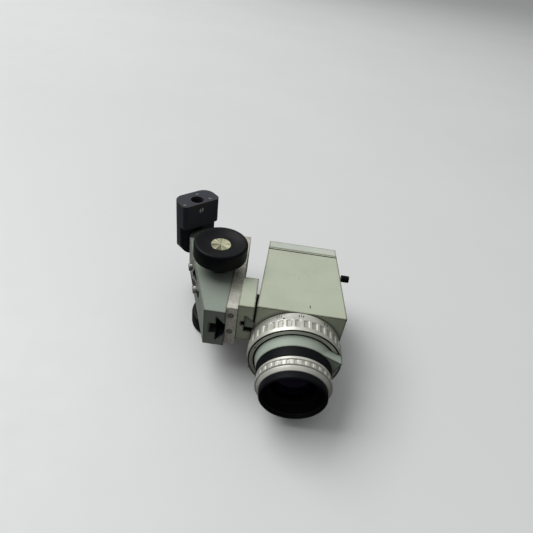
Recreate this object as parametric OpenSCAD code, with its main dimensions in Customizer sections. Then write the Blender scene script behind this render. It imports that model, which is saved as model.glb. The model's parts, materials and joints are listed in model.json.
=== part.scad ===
// Optical camera head on a rack-and-pinion focusing drive with a tilting stand socket.
// X is to the right, Y runs back along the optical axis, Z is up. The origin is the centre
// of the lens barrel's front rim, on the optical axis. The head lies on its lower face.

/* [Optical body] */
// Width of the body at its front face
body_front_w = 70; // [66:0.5:74]
// Width of the body at its rear face
body_rear_w = 63; // [60:0.5:66]
// Length of the body without its rear cover
body_len = 81; // [78:0.5:90]
// Height of the body's top face above the optical axis
body_top = 36.5; // [35:0.5:37.5]
// Thickness of the body's walls
wall = 3; // [2.5:0.1:3.5]
// Thickness of the rear cover
cover_t = 10; // [9:0.5:12]
// Radius of the rear port's bore
port_r = 11.6; // [10:0.1:12]

/* [Lens] */
// Distance from the lens barrel's rim to the body's front face
nose_len = 52; // [52:0.5:54]
// Radius over the crests of the fluted focus ring, and depth of the body below the axis
ring_r = 37.5; // [37:0.1:38]
// Number of flutes round the focus ring
ring_flutes = 36; // [30:2:44]
// Radius of the lens barrel's front
barrel_r = 25.4; // [25:0.1:26]
// Number of flutes round the lens lock ring
lock_flutes = 32; // [24:2:40]

/* [Focusing drive] */
// Height of the drive's centre line above the optical axis
drive_z = 10.6; // [9:0.1:12]
// Length of the slide plate
plate_len = 100; // [96:1:104]
// Height of the slide plate
plate_h = 41.2; // [40:0.2:43]
// Thickness of the slide plate
plate_t = 8.5; // [8:0.1:9]
// Height of the housing
housing_h = 38; // [37:0.2:39]
// Radius of the focus knobs
knob_r = 22.8; // [21:0.1:24]
// Height of the upper knob's rim above the optical axis
knob_rim_z = 56.5; // [55:0.5:60]

/* [Arm] */
// Width of the arm between slide plate and body
arm_w = 13.1; // [12.5:0.1:13.5]
// Length of the arm
arm_len = 35; // [32:0.5:38]

/* [Stand socket] */
// Width of the stand socket
socket_w = 39.5; // [38:0.5:40]
// Thickness of the stand socket
socket_t = 22; // [21:0.5:23]
// Turn of the stand socket's plan from the X axis, in degrees
socket_turn = 45; // [40:1:50]
// Height of the socket's top above the optical axis
socket_top = 60; // [58:0.5:62]
// Radius of the pillar bore
pillar_r = 6.05; // [5.5:0.05:6.5]

/* [Fits] */
// Radial clearance of turning and sliding fits
run_gap = 0.05; // [0.02:0.01:0.08]
// Gap between flat sliding faces
slide_gap = 0.15; // [0.1:0.05:0.25]

/* [Hidden] */
$fn = 96;

// Paints and finishes
cream = "#cfd2bd";
grey_green = "#a9b5ae";
steel = "#b9b9b4";
worn_steel = "#a8a297";
black = "#1b1c1f";
brass_tone = "#b89a5a";
glass_tone = "#4a4560";

// Body
body_bottom = -ring_r;
body_y0 = nose_len;
body_y1 = body_y0 + body_len;
cover_y1 = body_y1 + cover_t;
screw_r = 1.25;
corner_in = 8;
port_flange_r = 15.5;
port_flange_t = 2;
port_lip = 3;

// Lens stack, measured back from the barrel's rim
rim_bore_r = 23.6;
rim_bore_len = 3.2;
barrel_flange_y = 5.7;
barrel_body_r = 24;
front_lens_r = 20;
front_lens_y1 = 19;
rear_lens_r = 17;
rear_lens_y1 = 28.5;
stop_r = 14;
lock_y0 = 5.9;
lock_y1 = 16.4;
lock_r = 28.9;
black_y0 = 16.6;
nose_y0 = 24.9;
thread_y1 = 30;
nose_bore_r = 26;
nose_r = 31;
index_y0 = 33.4;
index_y1 = 39.2;
index_r = 36.1;
ring_y0 = 33.7;
ring_y1 = nose_len - 0.3;
band_r = 36.5;
skirt_r = 36.4;

// Focus cell and its cam
cell_y0 = 33.8;
cell_y1 = 48.6;
cell_r = nose_bore_r - run_gap;
cell_bore_r = 18;
cam_y = 43;
cam_pin_r = 1.2;
cam_slot_r = 1.9;
cam_half_turn = 60;
cam_half_travel = 3;
cam_step = 5;
cam_angle = 250;
key_y = 38;
key_r = 1.2;
dome_steps = 10;

// Drive
arm_x1 = -body_front_w / 2 - 1.4;
arm_x0 = arm_x1 - arm_w;
plate_x0 = arm_x0 - plate_t;
housing_x1 = plate_x0 - slide_gap;
housing_y0 = nose_len - 4.5;
housing_y1 = housing_y0 + 98.5;
housing_z0 = drive_z - housing_h / 2;
housing_z1 = drive_z + housing_h / 2;
flare_angle = 19;
flare_x0 = -75;
flare_y1 = 139.5;
pinion_x = -72;
pinion_y = nose_len + 50;
shaft_r = 3;
bush_r = 6.2;
bush_len = 13.3;

// Male dovetail: half heights at its neck and at its wide face, and its depth
dove_neck = 5;
dove_wide = 13;
dove_depth = 7;
dove_y0 = nose_len + 14;
dove_y1 = nose_len + 96;
dove_rise = dove_wide - dove_neck;
dove_ease = slide_gap * (dove_rise + sqrt(pow(dove_rise, 2) + pow(dove_depth, 2))) / dove_depth;
dove_x = plate_x0 - dove_depth;
channel_half = 5.3;
channel_x = -70.6;

// Rack and pinion
gear_module = 0.8;
gear_teeth = 12;
pitch_r = gear_module * gear_teeth / 2;
tooth_pitch = PI * gear_module;
addendum = 0.7;
dedendum = 0.9;
tooth_half = tooth_pitch / 4 - 0.08;
flank = tan(20);
rack_teeth = 22;
rack_half_h = 4.5;
rack_pitch_x = pinion_x + pitch_r;
gear_half_h = 5;

// Knobs
knob_t = 15.5;
hub_r = 9;
disc_r = 8.6;
disc_drop = 2.7;
washer_t = 0.3;

// Arm groove and body rail: half dovetail
rail_x0 = arm_x1 - 6.6;
rail_top = 24.4;
rail_neck_top = 18.9;
rail_bottom = 11.8;
rail_y0 = body_y0 + 0.6;
rail_y1 = body_y0 + 34;
groove_bottom = 7.4;
arm_top = 35;
arm_bottom = -2.3;
clamp_y = body_y0 + 20;
clamp_x = (rail_x0 + arm_x1) / 2;
clamp_head_r = 4.8;

// Stand socket: its bore, its pivot, and its thickness in front of the bore's axis
socket_x = -104;
socket_y = nose_len + 106;
socket_front = 8;
socket_mid = 1.25;
// Corner radii: front left, front right, back right, back left
socket_corners = [4, 5, 10, 10.5];
knuckle_r = socket_w / 2;
pivot_z = 18.5;
pivot_r = 5;
lug_r = 10;
lug_gap = 0.3;
lug_end = 27;
nut_r = 8.5;
nut_y0 = socket_t - socket_front + lug_gap;
nut_t = 2.6;
notch_x = -84;
recess_z = 35.5;
cap_t = 2;
bore_floor = 38;
cap_screws = [[-15, -2.5], [12, -3.2], [6, 9.4]];

// Filter selector
selector_y = nose_len + 62;
selector_z = 26.6;
stem_r = 1.2;
selector_wall_x = 32;
filter_half_w = 11;
filter_r = 9;
filter_t = 3;

// --- helpers ---

// Extrudes an outline drawn in X and Z from y0 to y1
module along_y(y0, y1) {
    translate([0, y1, 0])
        rotate([90, 0, 0])
            linear_extrude(y1 - y0)
                children();
}

// Turns a profile of [radius, y] points about the optical axis
module turned_y(profile) {
    rotate([-90, 0, 0])
        rotate_extrude()
            polygon(profile);
}

// Solid disc or rod on the optical axis
module rod_y(r, y0, y1) {
    translate([0, y1, 0])
        rotate([90, 0, 0])
            cylinder(r = r, h = y1 - y0);
}

// Rod along X
module rod_x(r, x0, x1, y, z) {
    translate([x0, y, z])
        rotate([0, 90, 0])
            cylinder(r = r, h = x1 - x0);
}

// Turns a profile of [radius, z] points about the pinion's axis
module turned_on_pinion(profile) {
    translate([pinion_x, pinion_y, 0])
        rotate_extrude()
            polygon(profile);
}

// Plan outline of the body, moved in by inset
module body_plan(inset, y0, y1) {
    slope = (body_front_w - body_rear_w) / 2 / body_len;
    front = body_front_w / 2 - inset - slope * (y0 - body_y0);
    rear = body_front_w / 2 - inset - slope * (y1 - body_y0);
    polygon([[-front, y0], [front, y0], [rear, y1], [-rear, y1]]);
}

module body_block(inset, y0, y1) {
    translate([0, 0, body_bottom + inset])
        linear_extrude(body_top - body_bottom - 2 * inset)
            body_plan(inset, y0, y1);
}

// Centres of the four cover screws
module at_cover_corners() {
    for (side = [-1, 1])
        for (z = [body_bottom + corner_in, body_top - corner_in])
            translate([side * (body_rear_w / 2 - corner_in), 0, z])
                children();
}

// Places children at an angle round the optical axis, 0 to the right, 90 up
module round_axis(angle) {
    rotate([0, -angle, 0])
        children();
}

// Screw along +Y with its head at y0
module screw_y(y0, head_r, head_t, shank_r, len) {
    rod_y(head_r, y0, y0 + head_t);
    rod_y(shank_r, y0 + head_t, y0 + len);
}

// Slanted left face of the housing: local Y runs back along it, local -X stands out of it
module on_flare() {
    translate([flare_x0, housing_y0, drive_z])
        rotate([0, 0, flare_angle])
            children();
}

// Places children in the stand socket's own frame: X across it, -Y out of its front face
module at_socket() {
    translate([socket_x, socket_y, 0])
        rotate([0, 0, socket_turn])
            children();
}

// Rod along the socket's own Y, on its middle unless x says otherwise
module socket_rod(r, y0, y1, z, x = socket_mid) {
    translate([x, y1, z])
        rotate([90, 0, 0])
            cylinder(r = r, h = y1 - y0);
}

// --- focusing drive ---

// Dovetail profile; ease widens it and gap moves its wide face back, for the housing's slot
module dovetail_outline(ease, gap) {
    polygon([
        [plate_x0 - gap, drive_z + dove_neck + ease],
        [dove_x - gap, drive_z + dove_wide + ease],
        [dove_x - gap, drive_z - dove_wide - ease],
        [plate_x0 - gap, drive_z - dove_neck - ease]
    ]);
}

module housing_plan() {
    flare_x1 = flare_x0 - tan(flare_angle) * (flare_y1 - housing_y0);
    polygon([
        [housing_x1, housing_y0],
        [housing_x1, housing_y1],
        [notch_x, housing_y1],
        [notch_x, flare_y1],
        [flare_x1, flare_y1],
        [flare_x0, housing_y0]
    ]);
}

// Boss that carries the socket's pivot pin
module pivot_lug() {
    at_socket()
        socket_rod(lug_r, -lug_end, -lug_gap, pivot_z);
}

module focus_housing() {
    color(grey_green)
    difference() {
        union() {
            translate([0, 0, housing_z0])
                linear_extrude(housing_h)
                    housing_plan();
            pivot_lug();
        }
        along_y(housing_y0 - 1, housing_y1 + 1)
            dovetail_outline(dove_ease, slide_gap);
        translate([housing_x1 - 0.5, housing_y0 - 1, drive_z - dove_neck - dove_ease])
            cube([1, housing_y1 - housing_y0 + 2, 2 * (dove_neck + dove_ease)]);
        translate([channel_x, housing_y0 - 1, drive_z - channel_half])
            cube([dove_x - channel_x, housing_y1 - housing_y0 + 2, 2 * channel_half]);
        translate([pinion_x, pinion_y, housing_z0 - 1])
            cylinder(r = bush_r, h = housing_h + 2);
        at_socket()
            socket_rod(pivot_r, -lug_end, 1, pivot_z);
        on_flare()
            side_screw_shanks(0.01);
    }
}

module pinion_bush(z0) {
    color(brass_tone)
    translate([pinion_x, pinion_y, z0])
        difference() {
            cylinder(r = bush_r, h = bush_len);
            translate([0, 0, -1])
                cylinder(r = shaft_r + run_gap, h = bush_len + 2);
        }
}

module pinion_bush_top() {
    pinion_bush(housing_z1 - bush_len);
}

module pinion_bush_bottom() {
    pinion_bush(housing_z0);
}

strap_y0 = 28;
strap_y1 = 70;
strap_t = 1.2;
strap_rise = 3.4;
strap_z = 9.5;
side_screw_ys = [34, 64];

module side_screw_shanks(extra) {
    for (y = side_screw_ys)
        translate([-strap_t - 0.2, y, strap_z])
            rotate([0, 90, 0])
                cylinder(r = 1.6, h = 7.4 + extra);
}

// Pressure strap on the flared side, raised in the middle
module side_strap() {
    color(steel)
    difference() {
        on_flare()
            translate([0, 0, strap_z - 3.5])
                linear_extrude(7)
                    polygon([
                        [0, strap_y0],
                        [-strap_t, strap_y0],
                        [-strap_t, strap_y0 + 12],
                        [-strap_rise, strap_y0 + 17],
                        [-strap_rise, strap_y1 - 17],
                        [-strap_t, strap_y1 - 12],
                        [-strap_t, strap_y1],
                        [0, strap_y1],
                        [0, strap_y1 - 12.5],
                        [strap_t - strap_rise, strap_y1 - 17.5],
                        [strap_t - strap_rise, strap_y0 + 17.5],
                        [0, strap_y0 + 12.5]
                    ]);
        on_flare()
            side_screw_shanks(0);
    }
}

module side_screws() {
    color(steel)
    on_flare() {
        side_screw_shanks(0);
        for (y = side_screw_ys)
            translate([-strap_t - 3.2, y, strap_z])
                rotate([0, 90, 0])
                    difference() {
                        cylinder(r = 3.3, h = 3.2);
                        translate([-4, -0.4, -1])
                            cube([8, 0.8, 1.9]);
                    }
    }
}

// --- stand socket ---

// Outline of the socket in its own plan
module socket_plan() {
    x0 = socket_mid - socket_w / 2;
    x1 = socket_mid + socket_w / 2;
    y0 = -socket_front;
    y1 = socket_t - socket_front;
    r = socket_corners;
    polygon([
        [x0 + r[0], y0],
        [x1 - r[1], y0],
        [x1, y0 + r[1]],
        [x1, y1 - r[2]],
        [x1 - r[2], y1],
        [x0 + r[3], y1],
        [x0, y1 - r[3]],
        [x0, y0 + r[0]]
    ]);
    translate([x0 + r[0], y0 + r[0]])
        circle(r = r[0]);
    translate([x1 - r[1], y0 + r[1]])
        circle(r = r[1]);
    translate([x1 - r[2], y1 - r[2]])
        circle(r = r[2]);
    translate([x0 + r[3], y1 - r[3]])
        circle(r = r[3]);
}

module at_cap_screws() {
    for (place = cap_screws)
        translate([place[0], place[1], 0])
            children();
}

pillar_screw_z = 52.5;
pillar_screw_r = 2.5;
cap_screw_r = 0.9;
cap_head_r = 1.45;

// Round-bottomed block: its lower front is cut back for the joint with the housing's boss
module stand_socket() {
    color(black)
    at_socket()
    difference() {
        union() {
            translate([0, 0, pivot_z])
                linear_extrude(socket_top - cap_t - pivot_z)
                    socket_plan();
            intersection() {
                socket_rod(knuckle_r, 0, socket_t - socket_front, pivot_z);
                translate([0, 0, pivot_z - knuckle_r])
                    linear_extrude(knuckle_r)
                        socket_plan();
            }
        }
        translate([-socket_w, -socket_front - 1, pivot_z - socket_w])
            cube([2 * socket_w, socket_front + 1, recess_z - pivot_z + socket_w]);
        translate([0, 0, bore_floor])
            cylinder(r = pillar_r, h = socket_top);
        socket_rod(pivot_r + run_gap, -1, socket_t, pivot_z);
        socket_rod(pillar_screw_r + run_gap, -socket_front - 1, 0, pillar_screw_z, 0);
        translate([0, 0, socket_top - cap_t - 6])
            at_cap_screws()
                cylinder(r = cap_screw_r, h = 7);
    }
}

module socket_cap() {
    color(black)
    at_socket()
    difference() {
        translate([0, 0, socket_top - cap_t])
            linear_extrude(cap_t)
                socket_plan();
        translate([0, 0, socket_top - cap_t - 1])
            cylinder(r = pillar_r, h = cap_t + 2);
        translate([0, 0, socket_top - cap_t - 1])
            at_cap_screws()
                cylinder(r = cap_screw_r, h = cap_t + 2);
        translate([0, 0, socket_top - 1])
            at_cap_screws()
                cylinder(r = cap_head_r, h = 2);
    }
}

module socket_cap_screws() {
    color(steel)
    at_socket()
    at_cap_screws() {
        translate([0, 0, socket_top - cap_t - 6])
            cylinder(r = cap_screw_r, h = cap_t + 5.5);
        translate([0, 0, socket_top - 1])
            difference() {
                cylinder(r = cap_head_r, h = 0.7);
                translate([-2, -0.22, 0.35])
                    cube([4, 0.44, 1]);
            }
    }
}

// Pin fixed in the housing's boss; the socket turns on it
module pivot_pin() {
    color(steel)
    at_socket()
        socket_rod(pivot_r, -lug_end, nut_y0 + nut_t, pivot_z);
}

module pivot_nut() {
    color(steel)
    at_socket()
    difference() {
        socket_rod(nut_r, nut_y0, nut_y0 + nut_t, pivot_z);
        socket_rod(pivot_r, 0, socket_t, pivot_z);
    }
}

module pillar_screw() {
    color(steel)
    at_socket()
        difference() {
            socket_rod(pillar_screw_r, -socket_front + 0.4, -pillar_r - 0.1, pillar_screw_z, 0);
            translate([-0.4, -socket_front, pillar_screw_z - 3])
                cube([0.8, 1.6, 6]);
        }
}

// --- pinion and knobs ---

shaft_z0 = body_bottom + disc_drop + 2;
shaft_z1 = knob_rim_z - disc_drop - 2;

module pinion_shaft() {
    color(steel)
    translate([pinion_x, pinion_y, shaft_z0])
        cylinder(r = shaft_r, h = shaft_z1 - shaft_z0);
}

// One tooth's outline on a gear, pointing to the right
function gear_tooth(k) =
    let (a = 360 / gear_teeth * k)
    [for (c = [
        [pitch_r - dedendum, -11],
        [pitch_r, -asin(tooth_half / pitch_r)],
        [pitch_r + addendum, -3],
        [pitch_r + addendum, 3],
        [pitch_r, asin(tooth_half / pitch_r)],
        [pitch_r - dedendum, 11]
    ]) [c[0] * cos(a + c[1]), c[0] * sin(a + c[1])]];

module pinion_gear() {
    color(brass_tone)
    translate([pinion_x, pinion_y, drive_z - gear_half_h])
        linear_extrude(2 * gear_half_h)
            difference() {
                polygon([for (k = [0 : gear_teeth - 1]) for (p = gear_tooth(k)) p]);
                circle(r = shaft_r);
            }
}

// Knob profile from its hub's end at h = 0 to its rim at h = len
function knob_profile(len) = [
    [shaft_r, 0],
    [hub_r, 0],
    [hub_r, len - knob_t + 1],
    [knob_r - 3, len - knob_t],
    [knob_r - 1, len - knob_t + 0.6],
    [knob_r, len - knob_t + 2.2],
    [knob_r, len - 2.4],
    [knob_r - 0.5, len - 0.9],
    [knob_r - 1.6, len],
    [knob_r - 2.6, len - 0.2],
    [knob_r - 6, len - 1.7],
    [knob_r - 10, len - 2.6],
    [disc_r + 0.1, len - disc_drop],
    [disc_r + 0.1, len - disc_drop - 1.6],
    [shaft_r, len - disc_drop - 1.6]
];

knob_top_z0 = housing_z1 + washer_t + 0.1;
knob_bottom_z1 = housing_z0 - washer_t - 0.1;
top_screw_z = knob_top_z0 + 5;
bottom_screw_z = knob_bottom_z1 - 5;

module setscrew_hole(z) {
    translate([pinion_x, pinion_y, z])
        rotate([90, 0, 0])
            cylinder(r = 1.5, h = hub_r + 1);
}

module knob_top() {
    color(black)
    difference() {
        translate([0, 0, knob_top_z0])
            turned_on_pinion(knob_profile(knob_rim_z - knob_top_z0));
        setscrew_hole(top_screw_z);
    }
}

module knob_bottom() {
    color(black)
    difference() {
        translate([0, 0, knob_bottom_z1])
            mirror([0, 0, 1])
                turned_on_pinion(knob_profile(knob_bottom_z1 - body_bottom));
        setscrew_hole(bottom_screw_z);
    }
}

module knob_disc() {
    color(steel)
    turned_on_pinion([[0, 0], [disc_r, 0], [disc_r, 1.3], [disc_r - 0.3, 1.6], [0, 1.6]]);
}

module knob_top_disc() {
    translate([0, 0, knob_rim_z - disc_drop - 1.6])
        knob_disc();
}

module knob_bottom_disc() {
    translate([0, 0, body_bottom + disc_drop + 1.6])
        mirror([0, 0, 1])
            knob_disc();
}

module knob_washers() {
    color(steel)
    for (z = [knob_top_z0 - washer_t, knob_bottom_z1])
        translate([pinion_x, pinion_y, z])
            difference() {
                cylinder(r = hub_r - 0.5, h = washer_t);
                translate([0, 0, -1])
                    cylinder(r = shaft_r, h = 2);
            }
}

module knob_setscrews() {
    color(steel)
    for (z = [top_screw_z, bottom_screw_z])
        translate([pinion_x, pinion_y - shaft_r - 0.05, z])
            rotate([90, 0, 0])
                difference() {
                    cylinder(r = 1.5, h = hub_r - shaft_r - 0.5);
                    translate([-2, -0.25, hub_r - shaft_r - 1.3])
                        cube([4, 0.5, 1]);
                }
}

// --- carriage ---

arm_screw_ys = [body_y0 + 12, body_y0 + 28];
arm_screw_zs = [drive_z - 9.5, drive_z + 14];
dove_screw_ys = [dove_y0 + 12, dove_y0 + 60];
end_screw_zs = [drive_z + 12, drive_z - 6];
end_screw_x = plate_x0 + 3.6;

module at_arm_screws() {
    for (y = arm_screw_ys)
        for (z = arm_screw_zs)
            translate([0, y, z])
                children();
}

module slide_plate() {
    color(worn_steel)
    difference() {
        translate([plate_x0, body_y0, drive_z - plate_h / 2])
            cube([plate_t, plate_len, plate_h]);
        at_arm_screws() {
            rod_x(1.6, plate_x0 - 1, arm_x0 + 1, 0, 0);
            rod_x(3, plate_x0 - 1, plate_x0 + 3, 0, 0);
        }
        for (y = dove_screw_ys)
            translate([0, y, drive_z]) {
                rod_x(1.6, plate_x0 - 1, arm_x0 + 1, 0, 0);
                rod_x(3, arm_x0 - 3, arm_x0 + 1, 0, 0);
            }
        for (z = end_screw_zs)
            translate([end_screw_x, 0, z]) {
                rod_y(1.6, body_y0 - 1, body_y0 + 7.5);
                rod_y(2.8, body_y0 - 1, body_y0 + 1.2);
            }
    }
}

module slide_dovetail() {
    color(steel)
    difference() {
        along_y(dove_y0, dove_y1)
            dovetail_outline(0, 0);
        for (y = dove_screw_ys)
            rod_x(1.6, plate_x0 - 5, plate_x0 + 1, y, drive_z);
        at_rack_screws()
            rod_x(screw_r, -5, 1, 0, 0);
    }
}

module dovetail_screws() {
    color(steel)
    for (y = dove_screw_ys) {
        rod_x(1.6, plate_x0 - 5, arm_x0 - 3, y, drive_z);
        rod_x(2.9, arm_x0 - 3, arm_x0 - 0.6, y, drive_z);
    }
}

// Rack: teeth point to the pinion, with a gap facing it at rest
function rack_tooth(k) =
    let (y = (k - rack_teeth / 2 + 0.5) * tooth_pitch)
    [
        [dedendum, y - tooth_half - dedendum * flank],
        [-addendum, y - tooth_half + addendum * flank],
        [-addendum, y + tooth_half - addendum * flank],
        [dedendum, y + tooth_half + dedendum * flank]
    ];
rack_back = dove_x - rack_pitch_x;
rack_half_len = rack_teeth * tooth_pitch / 2;
rack_screw_dy = rack_half_len + 4;

// Ends of the rack's screws lie on its back face
module at_rack_screws() {
    for (side = [-1, 1])
        translate([dove_x + 5, pinion_y + side * rack_screw_dy, drive_z])
            children();
}

module focus_rack() {
    color(brass_tone)
    difference() {
        union() {
            translate([rack_pitch_x, pinion_y, drive_z - rack_half_h])
                linear_extrude(2 * rack_half_h)
                    polygon(concat(
                        [[rack_back, -rack_half_len], [dedendum, -rack_half_len]],
                        [for (k = [0 : rack_teeth - 1]) for (p = rack_tooth(k)) p],
                        [[dedendum, rack_half_len], [rack_back, rack_half_len]]
                    ));
            for (side = [-1, 1])
                translate([rack_pitch_x - addendum, pinion_y + side * rack_screw_dy - 4,
                    drive_z - rack_half_h])
                    cube([rack_back + addendum, 8, 2 * rack_half_h]);
        }
        at_rack_screws() {
            rod_x(screw_r, -12, 1, 0, 0);
            rod_x(2.2, -12, -6.2, 0, 0);
        }
    }
}

module rack_screws() {
    color(steel)
    at_rack_screws() {
        rod_x(screw_r, -6.2, 0, 0, 0);
        rod_x(2.1, -7.6, -6.2, 0, 0);
    }
}

module plate_end_screws() {
    color(steel)
    for (z = end_screw_zs)
        translate([end_screw_x, 0, z])
            difference() {
                screw_y(body_y0 + 0.2, 2.7, 1, 1.6, 7.2);
                translate([-3, body_y0, -0.4])
                    cube([6, 0.7, 0.8]);
            }
}

// --- arm ---

module arm_groove() {
    ease = slide_gap;
    polygon([
        [rail_x0 - ease, rail_top + 2 * ease],
        [arm_x1 + 1, rail_neck_top + 2 * ease - (rail_top - rail_neck_top) / 6.6],
        [arm_x1 + 1, groove_bottom],
        [rail_x0 - ease, groove_bottom]
    ]);
    translate([rail_x0 - ease - 2.9, 13.8])
        square([3, 4.2]);
}

module arm_bracket() {
    color(cream)
    difference() {
        translate([arm_x0, body_y0, arm_bottom])
            cube([arm_w, arm_len, arm_top - arm_bottom]);
        along_y(body_y0 - 1, body_y0 + arm_len + 1)
            arm_groove();
        at_arm_screws()
            rod_x(1.6, arm_x0 - 1, arm_x0 + 5, 0, 0);
        translate([clamp_x, clamp_y, arm_bottom - 1])
            cylinder(r = 2.5 + run_gap, h = groove_bottom - arm_bottom + 2);
    }
}

module arm_screws() {
    color(steel)
    at_arm_screws() {
        rod_x(1.6, plate_x0 + 3, arm_x0 + 5, 0, 0);
        rod_x(2.9, plate_x0 + 0.4, plate_x0 + 3, 0, 0);
    }
}

module clamp_strip() {
    color(steel)
    translate([rail_x0, body_y0 + 9, groove_bottom + 0.05])
        cube([6, arm_len - 10, rail_bottom - groove_bottom - 0.05]);
}

module arm_clamp_screw() {
    color(steel)
    translate([clamp_x, clamp_y, 0]) {
        translate([0, 0, arm_bottom - 1])
            cylinder(r = 2.5, h = groove_bottom - arm_bottom + 1);
        difference() {
            translate([0, 0, arm_bottom - 7])
                cylinder(r = clamp_head_r, h = 6.4);
            for (k = [0 : 17])
                rotate([0, 0, k * 20])
                    translate([clamp_head_r + 0.3, 0, arm_bottom - 8])
                        cylinder(r = 0.6, h = 9);
        }
    }
}

rail_screw_ys = [rail_y0 + 8, rail_y0 + 25];
rail_screw_z = 15;
rail_head_x = -body_front_w / 2 + 2.8;

module body_rail() {
    color(grey_green)
    difference() {
        union() {
            along_y(rail_y0, rail_y1)
                polygon([[rail_x0, rail_top], [arm_x1 + 0.4, rail_neck_top - 0.3],
                    [arm_x1 + 0.4, rail_bottom], [rail_x0, rail_bottom]]);
            translate([arm_x1 + 0.4, rail_y0, rail_bottom])
                cube([4, rail_y1 - rail_y0, rail_neck_top - 0.3 - rail_bottom]);
        }
        body_block(0, body_y0 - 1, body_y1);
        for (y = rail_screw_ys)
            rod_x(screw_r, rail_x0 + 3, 0, y, rail_screw_z);
    }
}

module rail_screws() {
    color(steel)
    for (y = rail_screw_ys) {
        rod_x(screw_r, rail_x0 + 3, rail_head_x, y, rail_screw_z);
        rod_x(2.8, rail_head_x, rail_head_x + 2.2, y, rail_screw_z);
    }
}

// --- optical body ---

front_wall_hole_r = 24;
nose_screw_angles = [45, 135, 225, 315];
nose_screw_pcd_r = 28.6;

module body_shell() {
    color(cream)
    difference() {
        body_block(0, body_y0, body_y1);
        difference() {
            body_block(wall, body_y0 + wall, body_y1 + 1);
            at_cover_corners()
                rod_y(6.4, body_y1 - 14, body_y1);
        }
        at_cover_corners()
            rod_y(screw_r, body_y1 - 11, body_y1 + 1);
        rod_y(front_wall_hole_r, body_y0 - 1, body_y0 + wall + 1);
        for (a = nose_screw_angles)
            round_axis(a)
                translate([nose_screw_pcd_r, 0, 0])
                    rod_y(screw_r, body_y0 - 1, body_y0 + wall + 1);
        for (y = rail_screw_ys) {
            rod_x(screw_r, -body_front_w / 2 - 1, rail_head_x + 1, y, rail_screw_z);
            rod_x(3.2, rail_head_x, rail_head_x + 6, y, rail_screw_z);
        }
        rod_x(2.5, 27, 36, selector_y, selector_z);
        rod_x(3.3, selector_wall_x, 36, selector_y, selector_z);
    }
}

module rear_cover() {
    color(cream)
    difference() {
        union() {
            body_block(0, body_y1, cover_y1);
            difference() {
                body_block(wall + 0.2, body_y1 - 2.5, body_y1 + 1);
                at_cover_corners()
                    rod_y(6.6, body_y1 - 4, body_y1);
            }
        }
        rod_y(port_flange_r - 2, body_y1 - 4, cover_y1 + 1);
        at_cover_corners() {
            rod_y(1.5, body_y1 - 1, cover_y1 + 1);
            rod_y(3, cover_y1 - 3, cover_y1 + 1);
        }
    }
}

module cover_screws() {
    color(steel)
    at_cover_corners()
        difference() {
            union() {
                rod_y(screw_r, body_y1 - 10, cover_y1 - 3);
                rod_y(2.9, cover_y1 - 3, cover_y1 - 0.4);
            }
            translate([-3, cover_y1 - 1.2, -0.4])
                cube([6, 1, 0.8]);
        }
}

module port_ring() {
    color(black)
    turned_y([
        [port_r, body_y1 - 2],
        [port_r, cover_y1 + port_flange_t],
        [port_flange_r, cover_y1 + port_flange_t],
        [port_flange_r, cover_y1],
        [port_flange_r - 2, cover_y1],
        [port_flange_r - 2, body_y1 - 5],
        [port_r - 1.6, body_y1 - 5],
        [port_r - 1.6, body_y1 - 2]
    ]);
}

module port_window() {
    color(glass_tone)
    rod_y(port_r - 1.6, body_y1 - 4.5, body_y1 - 2.5);
}

// Slotted bars across the body that guide the filter frame
module filter_guides() {
    half = filter_t / 2 + slide_gap;
    color(black)
    difference() {
        intersection() {
            union() {
                translate([-40, selector_y - 4, -19])
                    cube([80, 8, 7]);
                translate([-40, selector_y - 4, 30.2])
                    cube([80, 8, 8]);
            }
            body_block(wall, body_y0, body_y1);
        }
        translate([-40, selector_y - half, -15.2])
            cube([80, 2 * half, 46.4]);
    }
}

module stem_bush() {
    color(steel)
    difference() {
        union() {
            rod_x(2.5, selector_wall_x - 2.6, selector_wall_x, selector_y, selector_z);
            rod_x(3.2, selector_wall_x, selector_wall_x + 1.2, selector_y, selector_z);
        }
        rod_x(stem_r + run_gap, 27, 36, selector_y, selector_z);
    }
}

// --- nose ---

module nose_lug() {
    rotate([0, 25.3, 0])
        translate([0, nose_y0, 17])
            cube([24, index_y0 - 0.4 - nose_y0, 11.8]);
}

// Sector of the cam slot, in the plane of X and Z
module cam_sector() {
    reach = 60;
    from = cam_angle - cam_half_turn - 4;
    to = cam_angle + cam_half_turn + 4;
    polygon([
        [0, 0],
        for (k = [0 : 4]) [reach * cos(from + k * (to - from) / 4), reach * sin(from + k * (to - from) / 4)]
    ]);
}

module nose_tube() {
    color(grey_green)
    difference() {
        union() {
            turned_y([
                [barrel_body_r, nose_y0],
                [29.4, nose_y0],
                [31.2, index_y0 - 0.4],
                [31.2, index_y0 + 0.8],
                [nose_r, index_y0 + 0.8],
                [nose_r, nose_len],
                [nose_bore_r, nose_len],
                [nose_bore_r, thread_y1],
                [barrel_body_r, thread_y1]
            ]);
            difference() {
                nose_lug();
                rod_y(barrel_body_r + 2, nose_y0 - 1, index_y0);
            }
        }
        intersection() {
            rod_y(nose_r + 1, cam_y - cam_pin_r - 0.3, cam_y + cam_pin_r + 0.3);
            along_y(cam_y - 5, cam_y + 5)
                cam_sector();
        }
        round_axis(90)
            translate([nose_bore_r - 1, key_y - cam_half_travel - 2, -key_r - run_gap])
                cube([2.8, 2 * cam_half_travel + 4, 2 * key_r + 2 * run_gap]);
        for (a = nose_screw_angles)
            round_axis(a)
                translate([nose_screw_pcd_r, 0, 0])
                    rod_y(screw_r, nose_len - 4.5, nose_len + 1);
    }
}

module nose_screws() {
    color(steel)
    for (a = nose_screw_angles)
        round_axis(a)
            translate([nose_screw_pcd_r, 0, 0]) {
                rod_y(screw_r, nose_len - 4.3, body_y0 + wall);
                rod_y(2.2, body_y0 + wall, body_y0 + wall + 2);
            }
}

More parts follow.
